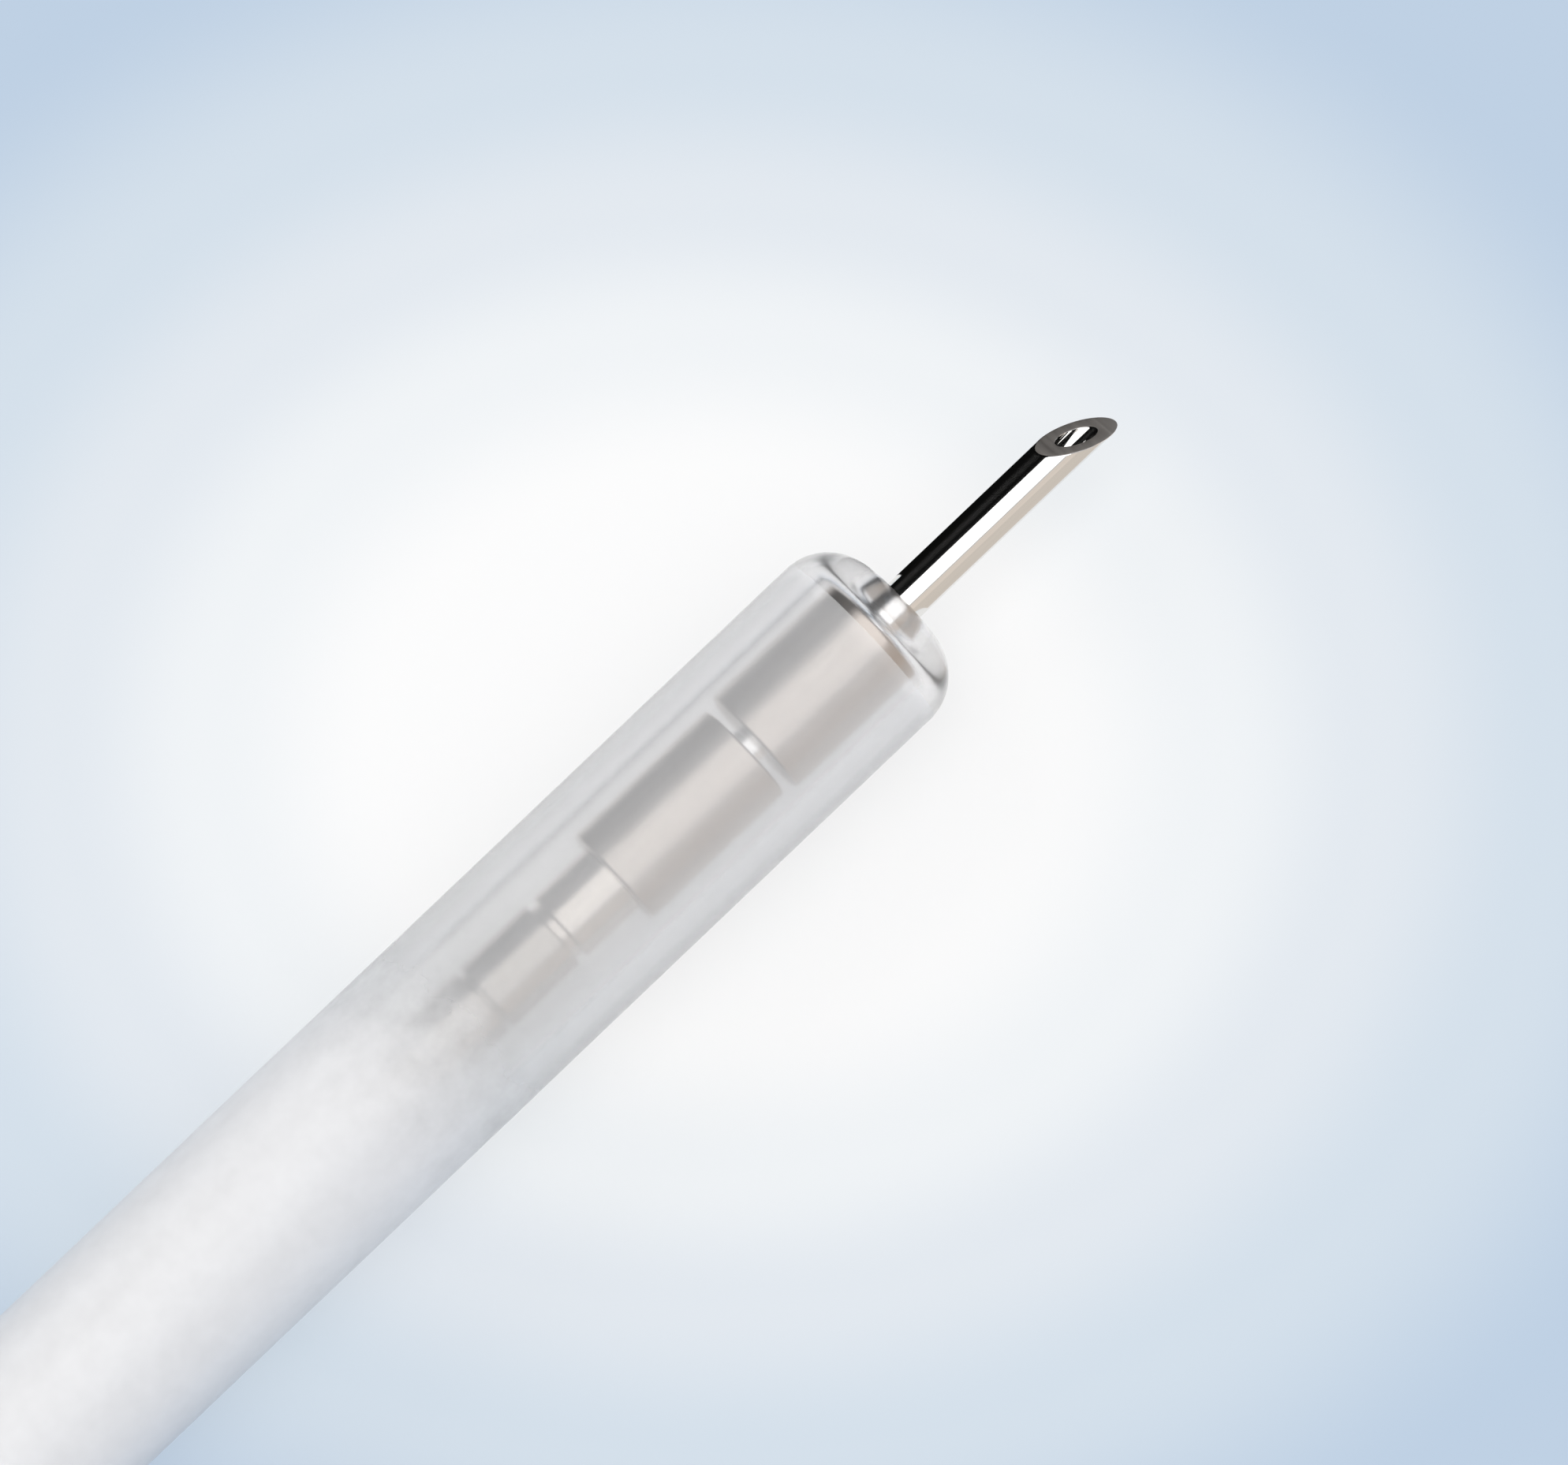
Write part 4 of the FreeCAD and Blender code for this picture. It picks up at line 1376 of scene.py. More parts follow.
@dataclass
class LongSheath:
    """The sheath between the handle and its clear end, with the spare length coiled."""

    route: tuple[Triple, ...] = (
        (70.0, 0.0, 7.5),
        (79.0, 0.0, 7.5),
        (88.3, -3.8, 7.1),
        (95.2, -11.0, 7.0),
        (99.0, -20.2, 7.4),
    )
    centre: tuple[float, float] = (80.6, -29.7)
    rings: tuple[float, ...] = (11.5, 13.8, 16.1, 18.4)
    layers: tuple[float, ...] = (8.05, 5.75, 3.45, 1.15)
    run: tuple[Triple, ...] = (
        (72.6, -48.1, 1.15),
        (62.6, -50.1, 1.15),
        (54.6, -50.1, 1.15),
    )
    diameter: float = 2.3
    per_turn: int = 16
    cross_from: float = 270.0
    cross_to: float = 337.5
    last_quarter: float = 90.0

    def turn_places(self) -> np.ndarray:
        """List ring radius and height of each turn, in and out, layer by layer downwards.

        Returns:
            Ring radius and height of each turn.
        """
        places = []
        for number, height in enumerate(self.layers):
            rings = self.rings[::-1] if number % 2 == 0 else self.rings
            places += [(ring, height) for ring in rings]
        return np.array(places)

    def coil_points(self) -> np.ndarray:
        """Work out the coil's control points, clockwise from the east side.

        Each turn keeps its radius, then crosses to the next turn's place in a smooth step
        between two angles. A quadratic spline runs inside its control points, so they lie
        at radius / cos(pi / points per turn).

        Returns:
            Points in millimetres.
        """
        places = self.turn_places()
        turns = len(places) - 1 + self.last_quarter / 360.0
        count = round(turns * self.per_turn)
        swept = np.arange(count) * 360.0 / self.per_turn
        whole = np.floor(swept / 360.0).astype(int)
        within = swept - 360.0 * whole
        share = np.clip((within - self.cross_from) / (self.cross_to - self.cross_from), 0.0, 1.0)
        eased = share * share * (3.0 - 2.0 * share)
        following = np.minimum(whole + 1, len(places) - 1)
        now = places[whole] + (places[following] - places[whole]) * eased[:, None]
        reach = now[:, 0] / math.cos(math.pi / self.per_turn)
        angle = -np.radians(swept)
        return np.stack(
            [
                self.centre[0] + reach * np.cos(angle),
                self.centre[1] + reach * np.sin(angle),
                now[:, 1],
            ],
            axis=-1,
        )

    def build(self, finishes: Finishes) -> bpy.types.Object:
        """Make one NURBS spline of the handle's run, the coil and the run to the tip.

        Args:
            finishes: All materials.

        Returns:
            The piece.
        """
        points = np.vstack([self.route, self.coil_points(), self.run]) * MM
        curve = bpy.data.curves.new("long_sheath", "CURVE")
        curve.dimensions = "3D"
        spline = curve.splines.new("NURBS")
        spline.points.add(len(points) - 1)
        weighted = np.hstack([points, np.ones((len(points), 1))])
        spline.points.foreach_set("co", weighted.ravel())
        spline.order_u = 3
        spline.use_endpoint_u = True
        spline.resolution_u = 6
        curve.bevel_depth = self.diameter * MM / 2
        curve.bevel_resolution = 6
        curve.use_fill_caps = True
        return finishes.fit(
            add_object("long_sheath", curve),
            Body.HANDLE,
            Slot.SHEATH,
            ["sheath_run_handle", "sheath_coil", "sheath_run_tip"],
            finishes.cord,
        )

    def spline_length(self, piece: bpy.types.Object) -> float:
        """Measure the spline's length in metres, on a copy with no thickness.

        Args:
            piece: The long sheath.

        Returns:
            Its length.
        """
        bare = piece.data.copy()
        bare.bevel_depth = 0.0
        holder = add_object("sheath_line", bare)
        line = bpy.data.meshes.new_from_object(holder)
        places = np.empty(len(line.vertices) * 3)
        line.vertices.foreach_get("co", places)
        steps = np.diff(places.reshape(-1, 3), axis=0)
        length = float(np.linalg.norm(steps, axis=1).sum())
        bpy.data.objects.remove(holder)
        bpy.data.meshes.remove(line)
        bpy.data.curves.remove(bare)
        return length


# ---------------------------------------------------------------------------------------
# Handle
# ---------------------------------------------------------------------------------------


def fluted(outer: float, flute: float, depth: float, count: int, soft: float) -> Reshape:
    """Make a rule that cuts round flutes along the axis.

    A flute is a circle whose centre lies at (outer + flute - depth) from the axis. On a ray
    at angle a from it the circle starts at c cos a - sqrt(flute^2 - c^2 sin^2 a), and the
    surface takes the smaller of that and its own radius, with a soft corner between.

    Args:
        outer: Radius that the flutes are cut from.
        flute: Radius of a flute.
        depth: Depth of a flute.
        count: Number of flutes.
        soft: Width of the soft corner.

    Returns:
        The rule, which leaves radii under half of the outer one alone.
    """
    centre = outer + flute - depth
    pitch = 2.0 * math.pi / count

    def reshape(_along: np.ndarray, radius: np.ndarray, angle: np.ndarray) -> np.ndarray:
        """Give the cut radius at each place.

        Args:
            _along: Place of each point along the axis; not used.
            radius: Its distance from the axis.
            angle: Its angle about the axis.

        Returns:
            The cut radius.
        """
        offset = (angle + pitch / 2) % pitch - pitch / 2
        under = flute**2 - (centre * np.sin(offset)) ** 2
        reach = centre * np.cos(offset) - np.sqrt(np.maximum(under, 0.0))
        limit = np.where(under > 0.0, reach, outer * 2.0)
        gap = np.clip(0.5 + 0.5 * (limit - radius) / soft, 0.0, 1.0)
        cut = limit * (1.0 - gap) + radius * gap - soft * gap * (1.0 - gap)
        return np.where(radius > outer * 0.5, np.minimum(cut, radius), radius)

    return reshape


@dataclass
class Barrel:
    """White barrel with its spigot, grip rings, waist, finger flange and stepped bore."""

    radius: float = 7.0
    length: float = 60.0
    spigot: float = 5.5
    spigot_end: float = 7.0
    neck: float = 5.3
    neck_end: float = -66.0
    bore: float = 4.5
    bore_front: float = -14.0
    guide_hole: float = 0.95
    ferrule_seat: float = 1.65
    seat_floor: float = 1.0
    waist: float = 6.1
    waist_falls: tuple[float, float] = (-15.0, -25.0)
    waist_rises: tuple[float, float] = (-37.0, -47.0)
    grip_count: int = 5
    grip_start: float = 2.0
    grip_pitch: float = 2.4
    grip_slot: float = 1.0
    grip_depth: float = 0.6
    turns: int = 160

    def outline(self) -> np.ndarray:
        """Lay out the wall's closed outline, outside first, then the bores.

        Returns:
            Outline points, two numbers each.
        """
        deep = self.radius - self.grip_depth
        grips = []
        for number in range(self.grip_count):
            start = -self.grip_start - self.grip_pitch * number
            end = start - self.grip_slot
            grips += [
                (start, self.radius, 0.3),
                (start, deep, 0.25),
                (end, deep, 0.25),
                (end, self.radius, 0.3),
            ]
        return soften(
            [
                (self.spigot_end, self.spigot, 0.4),
                (0.0, self.spigot, 0.05),
                (0.0, self.radius, 0.4),
                *grips,
                (self.waist_falls[0], self.radius, 25.0),
                (self.waist_falls[1], self.waist, 40.0),
                (self.waist_rises[0], self.waist, 40.0),
                (self.waist_rises[1], self.radius, 25.0),
                (-self.length, self.radius, 0.4),
                (-self.length, self.neck, 0.1),
                (self.neck_end, self.neck, 0.3),
                (self.neck_end, self.bore, 0.2),
                (self.bore_front, self.bore, 0.3),
                (self.bore_front, self.guide_hole, 0.05),
                (self.seat_floor, self.guide_hole, 0.0),
                (self.seat_floor, self.ferrule_seat, 0.0),
                (self.spigot_end, self.ferrule_seat, 0.1),
            ]
        )

    def build(self, finishes: Finishes) -> bpy.types.Object:
        """Turn the wall and add the finger flange round it.

        Args:
            finishes: All materials.

        Returns:
            The piece.
        """
        wall = turn_outline(HANDLE_AXIS, divide(self.outline(), 2.0), self.turns)
        flange = StadiumPlate(
            front=-52.8, thick=3.2, half_line=11.5, radius=7.5, rim=1.0, hole=5.6
        ).grid(HANDLE_AXIS)
        piece = join_rings("barrel_with_flange", [wall, flange])
        return finishes.fit(piece, Body.HANDLE, Slot.WHITE, ["handle_body"])


@dataclass
class NoseCap:
    """Blue fluted cap on the barrel's spigot, curved down to the bending sleeve."""

    outer: float = 7.5
    front: float = 4.3
    length: float = 20.0
    bore: float = 5.55
    hole: float = 2.65
    shoulder: float = 9.55
    straight: float = 7.0
    curve: tuple[tuple[float, float], tuple[float, float]] = ((12.2, 6.86), (16.75, 5.644))
    flutes: int = 9
    flute: float = 2.6
    flute_depth: float = 0.7
    turns: int = 432

    def build(self, finishes: Finishes) -> bpy.types.Object:
        """Turn the cap's outline and cut nine flutes along it.

        Args:
            finishes: All materials.

        Returns:
            The piece.
        """
        outline = soften(
            [
                (0.0, self.bore, 0.1),
                (0.0, self.outer, 0.5),
                (self.straight, self.outer, 8.0),
                (*self.curve[0], 14.0),
                (*self.curve[1], 14.0),
                (self.length, self.front, 1.0),
                (self.length, self.hole, 0.2),
                (self.shoulder, self.hole, 0.1),
                (self.shoulder, self.bore, 0.1),
            ],
            steps=8,
        )
        rule = fluted(self.outer, self.flute, self.flute_depth, self.flutes, 0.25)
        piece = turn_piece("fluted_nose_cap", HANDLE_AXIS, outline, 0.5, self.turns, rule)
        return finishes.fit(piece, Body.HANDLE, Slot.BLUE, ["nose_cap"])


@dataclass
class BendingSleeve:
    """Rubber sleeve with a captive rim, a plain stem and a taper of rings."""

    inner: float = 1.16
    rear: float = 8.0
    rim: float = 4.2
    rim_thick: float = 1.5
    stem: float = 2.6
    tip: float = 1.65
    rings: int = 7
    taper_start: float = 22.0
    taper: float = 23.0
    slot_depth: float = 0.42
    turns: int = 112

    def build(self, finishes: Finishes) -> bpy.types.Object:
        """Lay out the rings along the taper and turn the outline.

        Args:
            finishes: All materials.

        Returns:
            The piece.
        """
        step = self.taper / (self.rings + 0.5)
        fall = (self.stem - self.tip) / self.taper
        corners: list[Corner] = [
            (self.rear, self.inner, 0.05),
            (self.rear, self.rim, 0.2),
            (self.rear + self.rim_thick, self.rim, 0.2),
            (self.rear + self.rim_thick, self.stem, 0.2),
            (self.taper_start, self.stem, 0.3),
        ]
        for ring in range(self.rings):
            start = step * ring
            half = step * (ring + 0.5)
            before, after = self.stem - start * fall, self.stem - half * fall
            if ring > 0:
                corners.append((self.taper_start + start, before, 0.3))
            corners += [
                (self.taper_start + start, before - self.slot_depth, 0.15),
                (self.taper_start + half, after - self.slot_depth, 0.15),
                (self.taper_start + half, after, 0.3),
            ]
        end = self.taper_start + self.taper
        corners += [(end, self.tip, 0.25), (end, self.inner, 0.05)]
        name = "ringed_bending_sleeve"
        piece = turn_piece(name, HANDLE_AXIS, soften(corners), 1.5, self.turns)
        return finishes.fit(piece, Body.HANDLE, Slot.RELIEF, ["strain_relief"])


@dataclass
class LockCollar:
    """Blue fluted collar that turns on the barrel's neck."""

    outer: float = 6.8
    rod_hole: float = 3.65
    neck_bore: float = 5.35
    throat: tuple[float, float] = (4.95, 4.35)
    throat_ends: tuple[float, float] = (-66.8, -69.0)
    front: float = -60.05
    rear: float = -70.0
    flutes: int = 18
    flute: float = 0.9
    flute_depth: float = 0.45
    turns: int = 504

    def build(self, finishes: Finishes) -> bpy.types.Object:
        """Turn the collar's outline and cut eighteen flutes.

        Args:
            finishes: All materials.

        Returns:
            The piece.
        """
        outline = soften(
            [
                (self.front, self.neck_bore, 0.1),
                (self.front, self.outer, 0.3),
                (self.rear, self.outer, 1.0),
                (self.rear, self.rod_hole, 0.3),
                (self.throat_ends[1], self.rod_hole, 0.05),
                (self.throat_ends[1], self.throat[1], 0.05),
                (self.throat_ends[0], self.throat[0], 0.05),
                (self.throat_ends[0], self.neck_bore, 0.05),
            ],
            steps=8,
        )
        rule = fluted(self.outer, self.flute, self.flute_depth, self.flutes, 0.12)
        piece = turn_piece("fluted_lock_collar", HANDLE_AXIS, outline, 0.8, self.turns, rule)
        return finishes.fit(piece, Body.LOCK, Slot.BLUE, ["lock_collar"])


@dataclass
class Plunger:
    """White piston and rod with stroke marks and an oval thumb plate."""

    piston: float = 4.45
    piston_ends: tuple[float, float] = (-14.1, -22.1)
    seal_bed: float = 3.18
    seal_ends: tuple[float, float] = (-17.1, -18.5)
    rod: float = 3.5
    rear: float = -84.6
    hub_hole: float = 2.01
    hub_seat: float = -76.99
    tube_hole: float = 0.8
    guide_seat: float = 0.91
    guide_end: float = -46.0
    mark_start: float = 72.0
    mark_pitch: float = 2.0
    mark_slot: float = 0.5
    mark_depth: float = 0.3
    mark_count: int = 4
    turns: int = 144

    def build(self, finishes: Finishes) -> bpy.types.Object:
        """Turn the rod with its stepped bore and add the thumb plate.

        Args:
            finishes: All materials.

        Returns:
            The piece.
        """
        marks = []
        deep = self.rod - self.mark_depth
        for number in range(self.mark_count):
            start = -self.mark_start - self.mark_pitch * number
            end = start - self.mark_slot
            marks += [
                (start, self.rod, 0.08),
                (start, deep, 0.08),
                (end, deep, 0.08),
                (end, self.rod, 0.08),
            ]
        outline = soften(
            [
                (self.piston_ends[0], self.guide_seat, 0.05),
                (self.piston_ends[0], self.piston, 0.3),
                (self.seal_ends[0], self.piston, 0.15),
                (self.seal_ends[0], self.seal_bed, 0.05),
                (self.seal_ends[1], self.seal_bed, 0.05),
                (self.seal_ends[1], self.piston, 0.15),
                (self.piston_ends[1], self.piston, 0.3),
                (self.piston_ends[1], self.rod, 0.1),
                *marks,
                (self.rear, self.rod, 0.0),
                (self.rear, self.hub_hole, 0.0),
                (self.hub_seat, self.hub_hole, 0.0),
                (self.hub_seat, self.tube_hole, 0.0),
                (self.guide_end, self.tube_hole, 0.0),
                (self.guide_end, self.guide_seat, 0.0),
            ]
        )
        rod = turn_outline(HANDLE_AXIS, divide(outline, 3.0), self.turns)
        plate = StadiumPlate(
            front=-82.0, thick=3.0, half_line=7.2, radius=6.8, rim=1.0, hole=self.hub_hole
        ).grid(HANDLE_AXIS)
        piece = join_rings("plunger_with_thumb_plate", [rod, plate])
        return finishes.fit(piece, Body.PLUNGER, Slot.WHITE, ["plunger"])


@dataclass
class SyringeHub:
    """Clear tapered socket with a foot and two lugs for a syringe."""

    outer: float = 3.3
    plug: float = 2.0
    plug_ends: tuple[float, float] = (-77.0, -85.0)
    channel: float = 0.8
    foot: float = 4.3
    foot_rear: float = -86.4
    socket: tuple[float, float] = (1.91, 2.135)
    socket_floor: float = -87.5
    lug: float = 3.915
    lug_half_wide: float = 1.6
    rear: float = -95.0
    lug_front: float = -93.7
    turns: int = 360

    def raise_lugs(self, along: np.ndarray, radius: np.ndarray, angle: np.ndarray) -> np.ndarray:
        """Lift the outer wall at the mouth to the lugs' arc, between their flat sides.

        A flat side lies at (half width / |sin angle|) from the axis, and a lug's outline is
        the smaller of that and its arc, but never under the wall's own radius.

        Args:
            along: Place of each point along the axis.
            radius: Its distance from the axis.
            angle: Its angle about the axis.

        Returns:
            The lifted radius.
        """
        flat = self.lug_half_wide / np.maximum(np.abs(np.sin(angle)), 1e-3)
        lifted = np.clip(np.minimum(self.lug, flat), self.outer, None)
        share = np.clip((radius - (self.outer - 0.25)) / 0.25, 0.0, 1.0)
        at_mouth = (along <= self.lug_front + 1e-6) & (radius > self.outer - 0.25)
        return np.where(at_mouth, radius + share * (lifted - self.outer), radius)

    def build(self, finishes: Finishes) -> bpy.types.Object:
        """Turn the hub with its socket, and lift its two lugs.

        Args:
            finishes: All materials.

        Returns:
            The piece.
        """
        outline = soften(
            [
                (self.plug_ends[0], self.channel, 0.1),
                (self.plug_ends[0], self.plug, 0.2),
                (self.plug_ends[1], self.plug, 0.0),
                (self.plug_ends[1], self.foot, 0.15),
                (self.foot_rear, self.foot, 0.3),
                (self.foot_rear, self.outer, 0.3),
                (self.lug_front + 0.02, self.outer, 0.0),
                (self.lug_front - 0.02, self.outer, 0.0),
                (self.rear, self.outer, 0.2),
                (self.rear, self.socket[1], 0.12),
                (self.socket_floor, self.socket[0], 0.1),
                (self.socket_floor, self.channel, 0.1),
            ]
        )
        name, rule = "clear_syringe_hub", self.raise_lugs
        piece = turn_piece(name, HANDLE_AXIS, outline, 0.6, self.turns, rule)
        return finishes.fit(piece, Body.PLUNGER, Slot.HUB, ["syringe_hub"])


def dress_kept_nodes(finishes: Finishes) -> None:
    """Give the CAD nodes that stay their materials.

    Args:
        finishes: All materials.
    """
    finishes.dress_node("sheath_ferrule", Slot.SLEEVE, finishes.turned)
    finishes.dress_node("sheath_root", Slot.SHEATH, finishes.cord)
    finishes.dress_node("rear_bush", Slot.WHITE)
    finishes.dress_node("lock_collet", Slot.WHITE)
    finishes.dress_node("plunger_seal", Slot.SEAL)
    finishes.dress_node("guide_tube", Slot.SLEEVE, finishes.turned)
    finishes.dress_node("inner_tube_rear", Slot.INNER)


# ---------------------------------------------------------------------------------------
# Studio
# ---------------------------------------------------------------------------------------


@dataclass(frozen=True)
class ReflectionCard:
    """A sloping card beside the sheath's axis, which no camera ray meets: it paints a dark or warm
    reflection band on the metal, and gives no diffuse light and no shadow.

    Attributes:
        name: Name of the card.
        side: -1 on the side away from the handle, 1 on the side towards it.
        spans: Its ends along X.
        foot: Distance from the axis and height of its lower edge.
        head: Distance from the axis and height of its upper edge.
        colour: How bright it is, the colour of the painted reflection band.
        through: Whether rays that went through the sheath's wall meet it too.
    """

    name: str
    side: int
    spans: tuple[float, float]
    foot: tuple[float, float]
    head: tuple[float, float]
    colour: Colour
    through: bool


@dataclass(frozen=True)
class Lamp:
    """A round area lamp, in metres and watts."""

    name: str
    spot: Triple
    aim: Triple
    size: float
    power: float


# Painted reflections: the dark cards paint the dark band along the needle and the sleeves, and the
# warm ones paint a warm band on their other side.
BY_NEEDLE = (21.0, 26.3)
BY_SLEEVES = (-25.0, 60.0)
DARK_REFLECTION = grey(0.004)
REFLECTION_CARDS = (
    ReflectionCard("dark_reflection_card_needle", -1, BY_NEEDLE, (0.9, 0.02), (10.0, 42.0), DARK_REFLECTION, False),
    ReflectionCard("warm_reflection_card_needle", 1, BY_NEEDLE, (0.9, 0.02), (10.0, 3.8), tint(0.7, 0.64, 0.58), False),
    ReflectionCard("dark_reflection_card_sleeves", -1, BY_SLEEVES, (5.5, 0.3), (9.5, 16.0), DARK_REFLECTION, True),
    ReflectionCard("warm_reflection_card_sleeves", 1, BY_SLEEVES, (5.5, 0.3), (9.5, 8.0), tint(0.8, 0.72, 0.65), True),
)
LAMPS = (
    Lamp("overhead_lamp", (0.027, 0.1, 0.6), (0.027, -0.05, 0.0), 0.9, 2.6),
    Lamp("front_lamp", (0.1, -0.7, 0.45), (0.02, 0.0, 0.0), 0.5, 1.0),
)
SKY = tint(0.97, 0.98, 1.0)
SKY_STRENGTH = 0.6
BACKDROP = tint(0.51, 0.62, 0.755)
# Painted pool of light on the floor: its colour by share of the way out from its middle, near white
# fading to light blue.
LIGHT_POOL_STOPS = (
    (0.3, tint(0.955, 0.955, 0.955)),
    (0.46, tint(0.86, 0.885, 0.905)),
    (0.6, tint(0.755, 0.8, 0.85)),
    (0.76, tint(0.65, 0.73, 0.81)),
    (1.0, BACKDROP),
)


@dataclass
class Studio:
    """Floor with a painted pool of light, lamps and sky, cards that paint reflections, and camera.

    Lengths are in millimetres, but floor_reach is in metres, and light_pool_middle and
    light_pool_reach are in pixels of the photograph.
    """

    right: Triple = (-0.72145, 0.68203, -0.11966)
    up: Triple = (-0.68700, -0.68324, 0.24770)
    forward: Triple = (-0.08716, -0.26090, -0.96142)
    distance: float = 150.0
    field_wide: float = 17.26
    sensor: float = 36.0
    face_right: float = 1.288
    face_up: float = 1.422
    floor_reach: float = 3.0
    lit_share: float = 0.24
    light_pool_middle: tuple[float, float] = (900.0, 950.0)
    light_pool_reach: float = 1400.0
    light_pool_squash: float = 1.2

    def target(self) -> Vector:
        """Give the point at the image's centre, level with the sheath's front face."""
        face = Vector(TIP_AXIS.origin)
        return face - Vector(self.right) * self.face_right - Vector(self.up) * self.face_up

    def add_camera(self) -> None:
        """Stand the camera off the target along its own line of sight."""
        data = bpy.data.cameras.new("camera")
        data.sensor_width = self.sensor
        data.lens = self.sensor * self.distance / self.field_wide
        data.clip_start = 0.01
        data.clip_end = 20.0
        camera = add_object("camera", data)
        spot = (self.target() - Vector(self.forward) * self.distance) * MM
        turned = Matrix((self.right, self.up, [-part for part in self.forward])).transposed()
        camera.matrix_world = Matrix.Translation(spot) @ turned.to_4x4()
        bpy.context.scene.camera = camera

    def pixel_on_floor(self, across: float, down: float) -> tuple[float, float]:
        """Find where a pixel of the photograph meets the floor, in millimetres.

        Args:
            across: Pixels from the left edge.
            down: Pixels from the top edge.

        Returns:
            Place on the floor, x and y.
        """
        scale = self.field_wide / IMAGE_WIDTH
        sideways = (across - IMAGE_WIDTH / 2) * scale
        upwards = (IMAGE_HEIGHT / 2 - down) * scale
        ray = self.target() + Vector(self.right) * sideways + Vector(self.up) * upwards
        spot = self.target() - Vector(self.forward) * self.distance
        heading = ray - spot
        met = spot - heading * (spot.z / heading.z)
        return met.x, met.y

    def floor_material(self) -> bpy.types.Material:
        """Build the floor: a painted pool of light, near white round the needle's end, that falls
        off to light blue.

        The camera, glossy and see-through rays get most of the floor's colour as it is
        written, and the rest from the lit surface, which keeps the object's shadow.

        Returns:
            The material.
        """
        material, tree = empty_material("studio_floor")
        middle = self.pixel_on_floor(*self.light_pool_middle)
        place = put(tree, "ShaderNodeTexCoord")
        from_middle = reckon_vectors(
            tree, "SUBTRACT", place.outputs["Object"], (middle[0] * MM, middle[1] * MM, 0.0)
        )
        squashed = (self.up[0] * self.light_pool_squash, self.up[1] * self.light_pool_squash, 0.0)
        sideways = reckon_vectors(tree, "DOT_PRODUCT", from_middle, self.right)
        upwards = reckon_vectors(tree, "DOT_PRODUCT", from_middle, squashed)
        joined = put(tree, "ShaderNodeCombineXYZ", {"X": sideways, "Y": upwards})
        far = reckon_vectors(tree, "LENGTH", joined.outputs[0])
        reach = self.light_pool_reach * self.field_wide / IMAGE_WIDTH * MM
        # The ramp paints the pool of light: near white in the middle, light blue further out.
        ramp = put(
            tree, "ShaderNodeValToRGB", {0: reckon(tree, "DIVIDE", far, reach, clamp=True)}
        )
        elements = ramp.color_ramp.elements
        elements[0].position, elements[0].color = LIGHT_POOL_STOPS[0]
        elements[1].position, elements[1].color = LIGHT_POOL_STOPS[-1]
        for position, colour in LIGHT_POOL_STOPS[1:-1]:
            elements.new(position).color = colour
        ramp.color_ramp.interpolation = "EASE"
        lit = put(
            tree,
            "ShaderNodeBsdfPrincipled",
            {"Base Color": ramp.outputs[0], "Roughness": 0.9, "Specular IOR Level": 0.1},
        )
        plain = put(tree, "ShaderNodeEmission", {"Color": ramp.outputs[0], "Strength": 1.0})
        rays = put(tree, "ShaderNodeLightPath")
        seen = reckon(
            tree, "MAXIMUM", rays.outputs["Is Camera Ray"], rays.outputs["Is Glossy Ray"]
        )
        seen_through = reckon(tree, "MAXIMUM", seen, rays.outputs["Is Transmission Ray"])
        weight = reckon(tree, "MULTIPLY", seen_through, 1.0 - self.lit_share)
        mixed = put(
            tree, "ShaderNodeMixShader", {0: weight, 1: lit.outputs[0], 2: plain.outputs[0]}
        )
        put(tree, "ShaderNodeOutputMaterial", {"Surface": mixed.outputs[0]})
        return material

    def add_floor(self) -> None:
        """Lay a wide flat floor at the table's height."""
        reach = self.floor_reach
        mesh = bpy.data.meshes.new("studio_floor")
        corners = [(-reach, -reach, 0), (reach, -reach, 0), (reach, reach, 0), (-reach, reach, 0)]
        mesh.from_pydata(corners, [], [(0, 1, 2, 3)])
        mesh.materials.append(self.floor_material())
        add_object("studio_floor", mesh)

    def add_card(self, card: ReflectionCard, corners: Sequence[Triple]) -> None:
        """Stand a card that reflections meet, and see-through rays if it is so set: an emitting
        panel that only paints a reflection, with no diffuse light and no shadow.

        Args:
            card: Its name, colour and what meets it.
            corners: Its four corners in millimetres.
        """
        material, tree = empty_material(card.name)
        glow = put(tree, "ShaderNodeEmission", {"Color": card.colour, "Strength": 1.0})
        put(tree, "ShaderNodeOutputMaterial", {"Surface": glow.outputs[0]})
        mesh = bpy.data.meshes.new(card.name)
        mesh.from_pydata((np.array(corners) * MM).tolist(), [], [(0, 1, 2, 3)])
        mesh.materials.append(material)
        piece = add_object(card.name, mesh)
        piece.visible_camera = False
        piece.visible_diffuse = False
        piece.visible_shadow = False
        piece.visible_transmission = card.through

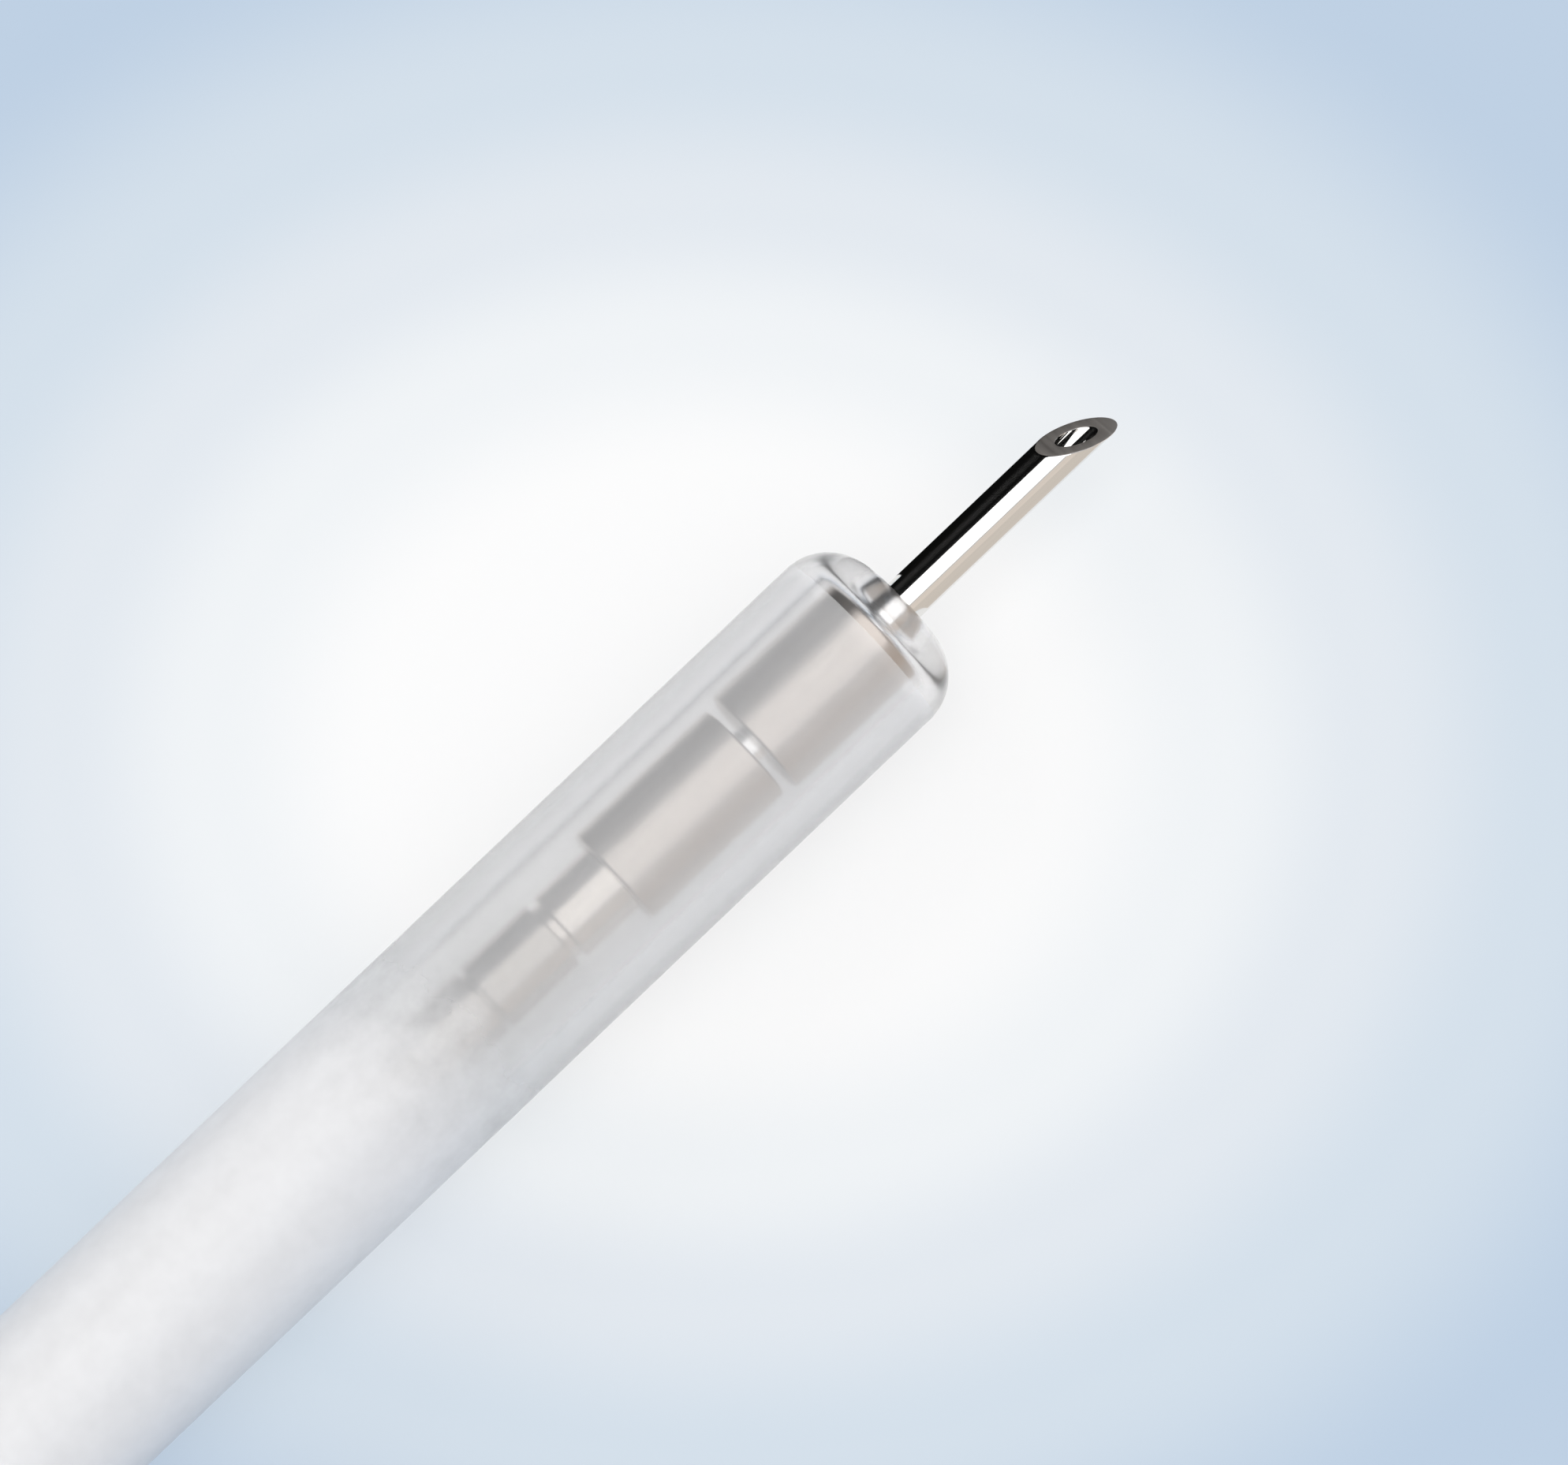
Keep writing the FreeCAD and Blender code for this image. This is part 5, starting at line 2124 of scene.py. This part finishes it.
    def add_cards(self) -> None:
        """Stand the cards that paint dark and warm reflection bands beside the needle and the
        sleeves, the warm ones towards the handle.
        """
        for card in REFLECTION_CARDS:
            near_x, far_x = card.spans
            foot = TIP_AXIS.origin[1] + card.side * card.foot[0]
            head = TIP_AXIS.origin[1] + card.side * card.head[0]
            corners = (
                (near_x, foot, card.foot[1]),
                (far_x, foot, card.foot[1]),
                (far_x, head, card.head[1]),
                (near_x, head, card.head[1]),
            )
            self.add_card(card, corners)

    def add_lamps(self) -> None:
        """Hang a wide soft lamp overhead and a weaker one in front."""
        for lamp in LAMPS:
            data = bpy.data.lights.new(lamp.name, "AREA")
            data.shape = "DISK"
            data.size = lamp.size
            data.energy = lamp.power
            piece = add_object(lamp.name, data)
            heading = Vector(lamp.aim) - Vector(lamp.spot)
            turned = heading.to_track_quat("-Z", "Y").to_matrix().to_4x4()
            piece.matrix_world = Matrix.Translation(lamp.spot) @ turned

    def add_world(self) -> None:
        """Surround the scene with an even pale light, a little blue."""
        world = bpy.data.worlds.new("studio_world")
        bpy.context.scene.world = world
        world.use_nodes = True
        tree = world.node_tree
        tree.nodes.clear()
        rays = put(tree, "ShaderNodeLightPath")
        light = put(tree, "ShaderNodeBackground", {"Color": SKY, "Strength": SKY_STRENGTH})
        wall = put(tree, "ShaderNodeBackground", {"Color": BACKDROP, "Strength": 1.0})
        mixed = put(
            tree,
            "ShaderNodeMixShader",
            {0: rays.outputs["Is Camera Ray"], 1: light.outputs[0], 2: wall.outputs[0]},
        )
        put(tree, "ShaderNodeOutputWorld", {"Surface": mixed.outputs[0]})

    def build(self) -> None:
        """Set up the whole studio."""
        bpy.context.scene.view_settings.view_transform = "Standard"
        self.add_camera()
        self.add_world()
        self.add_lamps()
        self.add_cards()
        self.add_floor()


def main() -> None:
    """Build every piece in order."""
    logging.basicConfig(level=logging.INFO, format="%(message)s")
    studio = Studio()
    studio.build()
    finishes = Finishes()
    end = SheathEnd().build(finishes)
    cannula = Cannula().build(finishes)
    sleeves = NeedleSleeves().build(finishes)
    sheath = LongSheath()
    cord = sheath.build(finishes)
    length = sheath.spline_length(cord)
    LOG.info("sheath's free length %.3f m", length)
    Barrel().build(finishes)
    NoseCap().build(finishes)
    BendingSleeve().build(finishes)
    LockCollar().build(finishes)
    Plunger().build(finishes)
    SyringeHub().build(finishes)
    dress_kept_nodes(finishes)


if __name__ == "__main__":
    main()
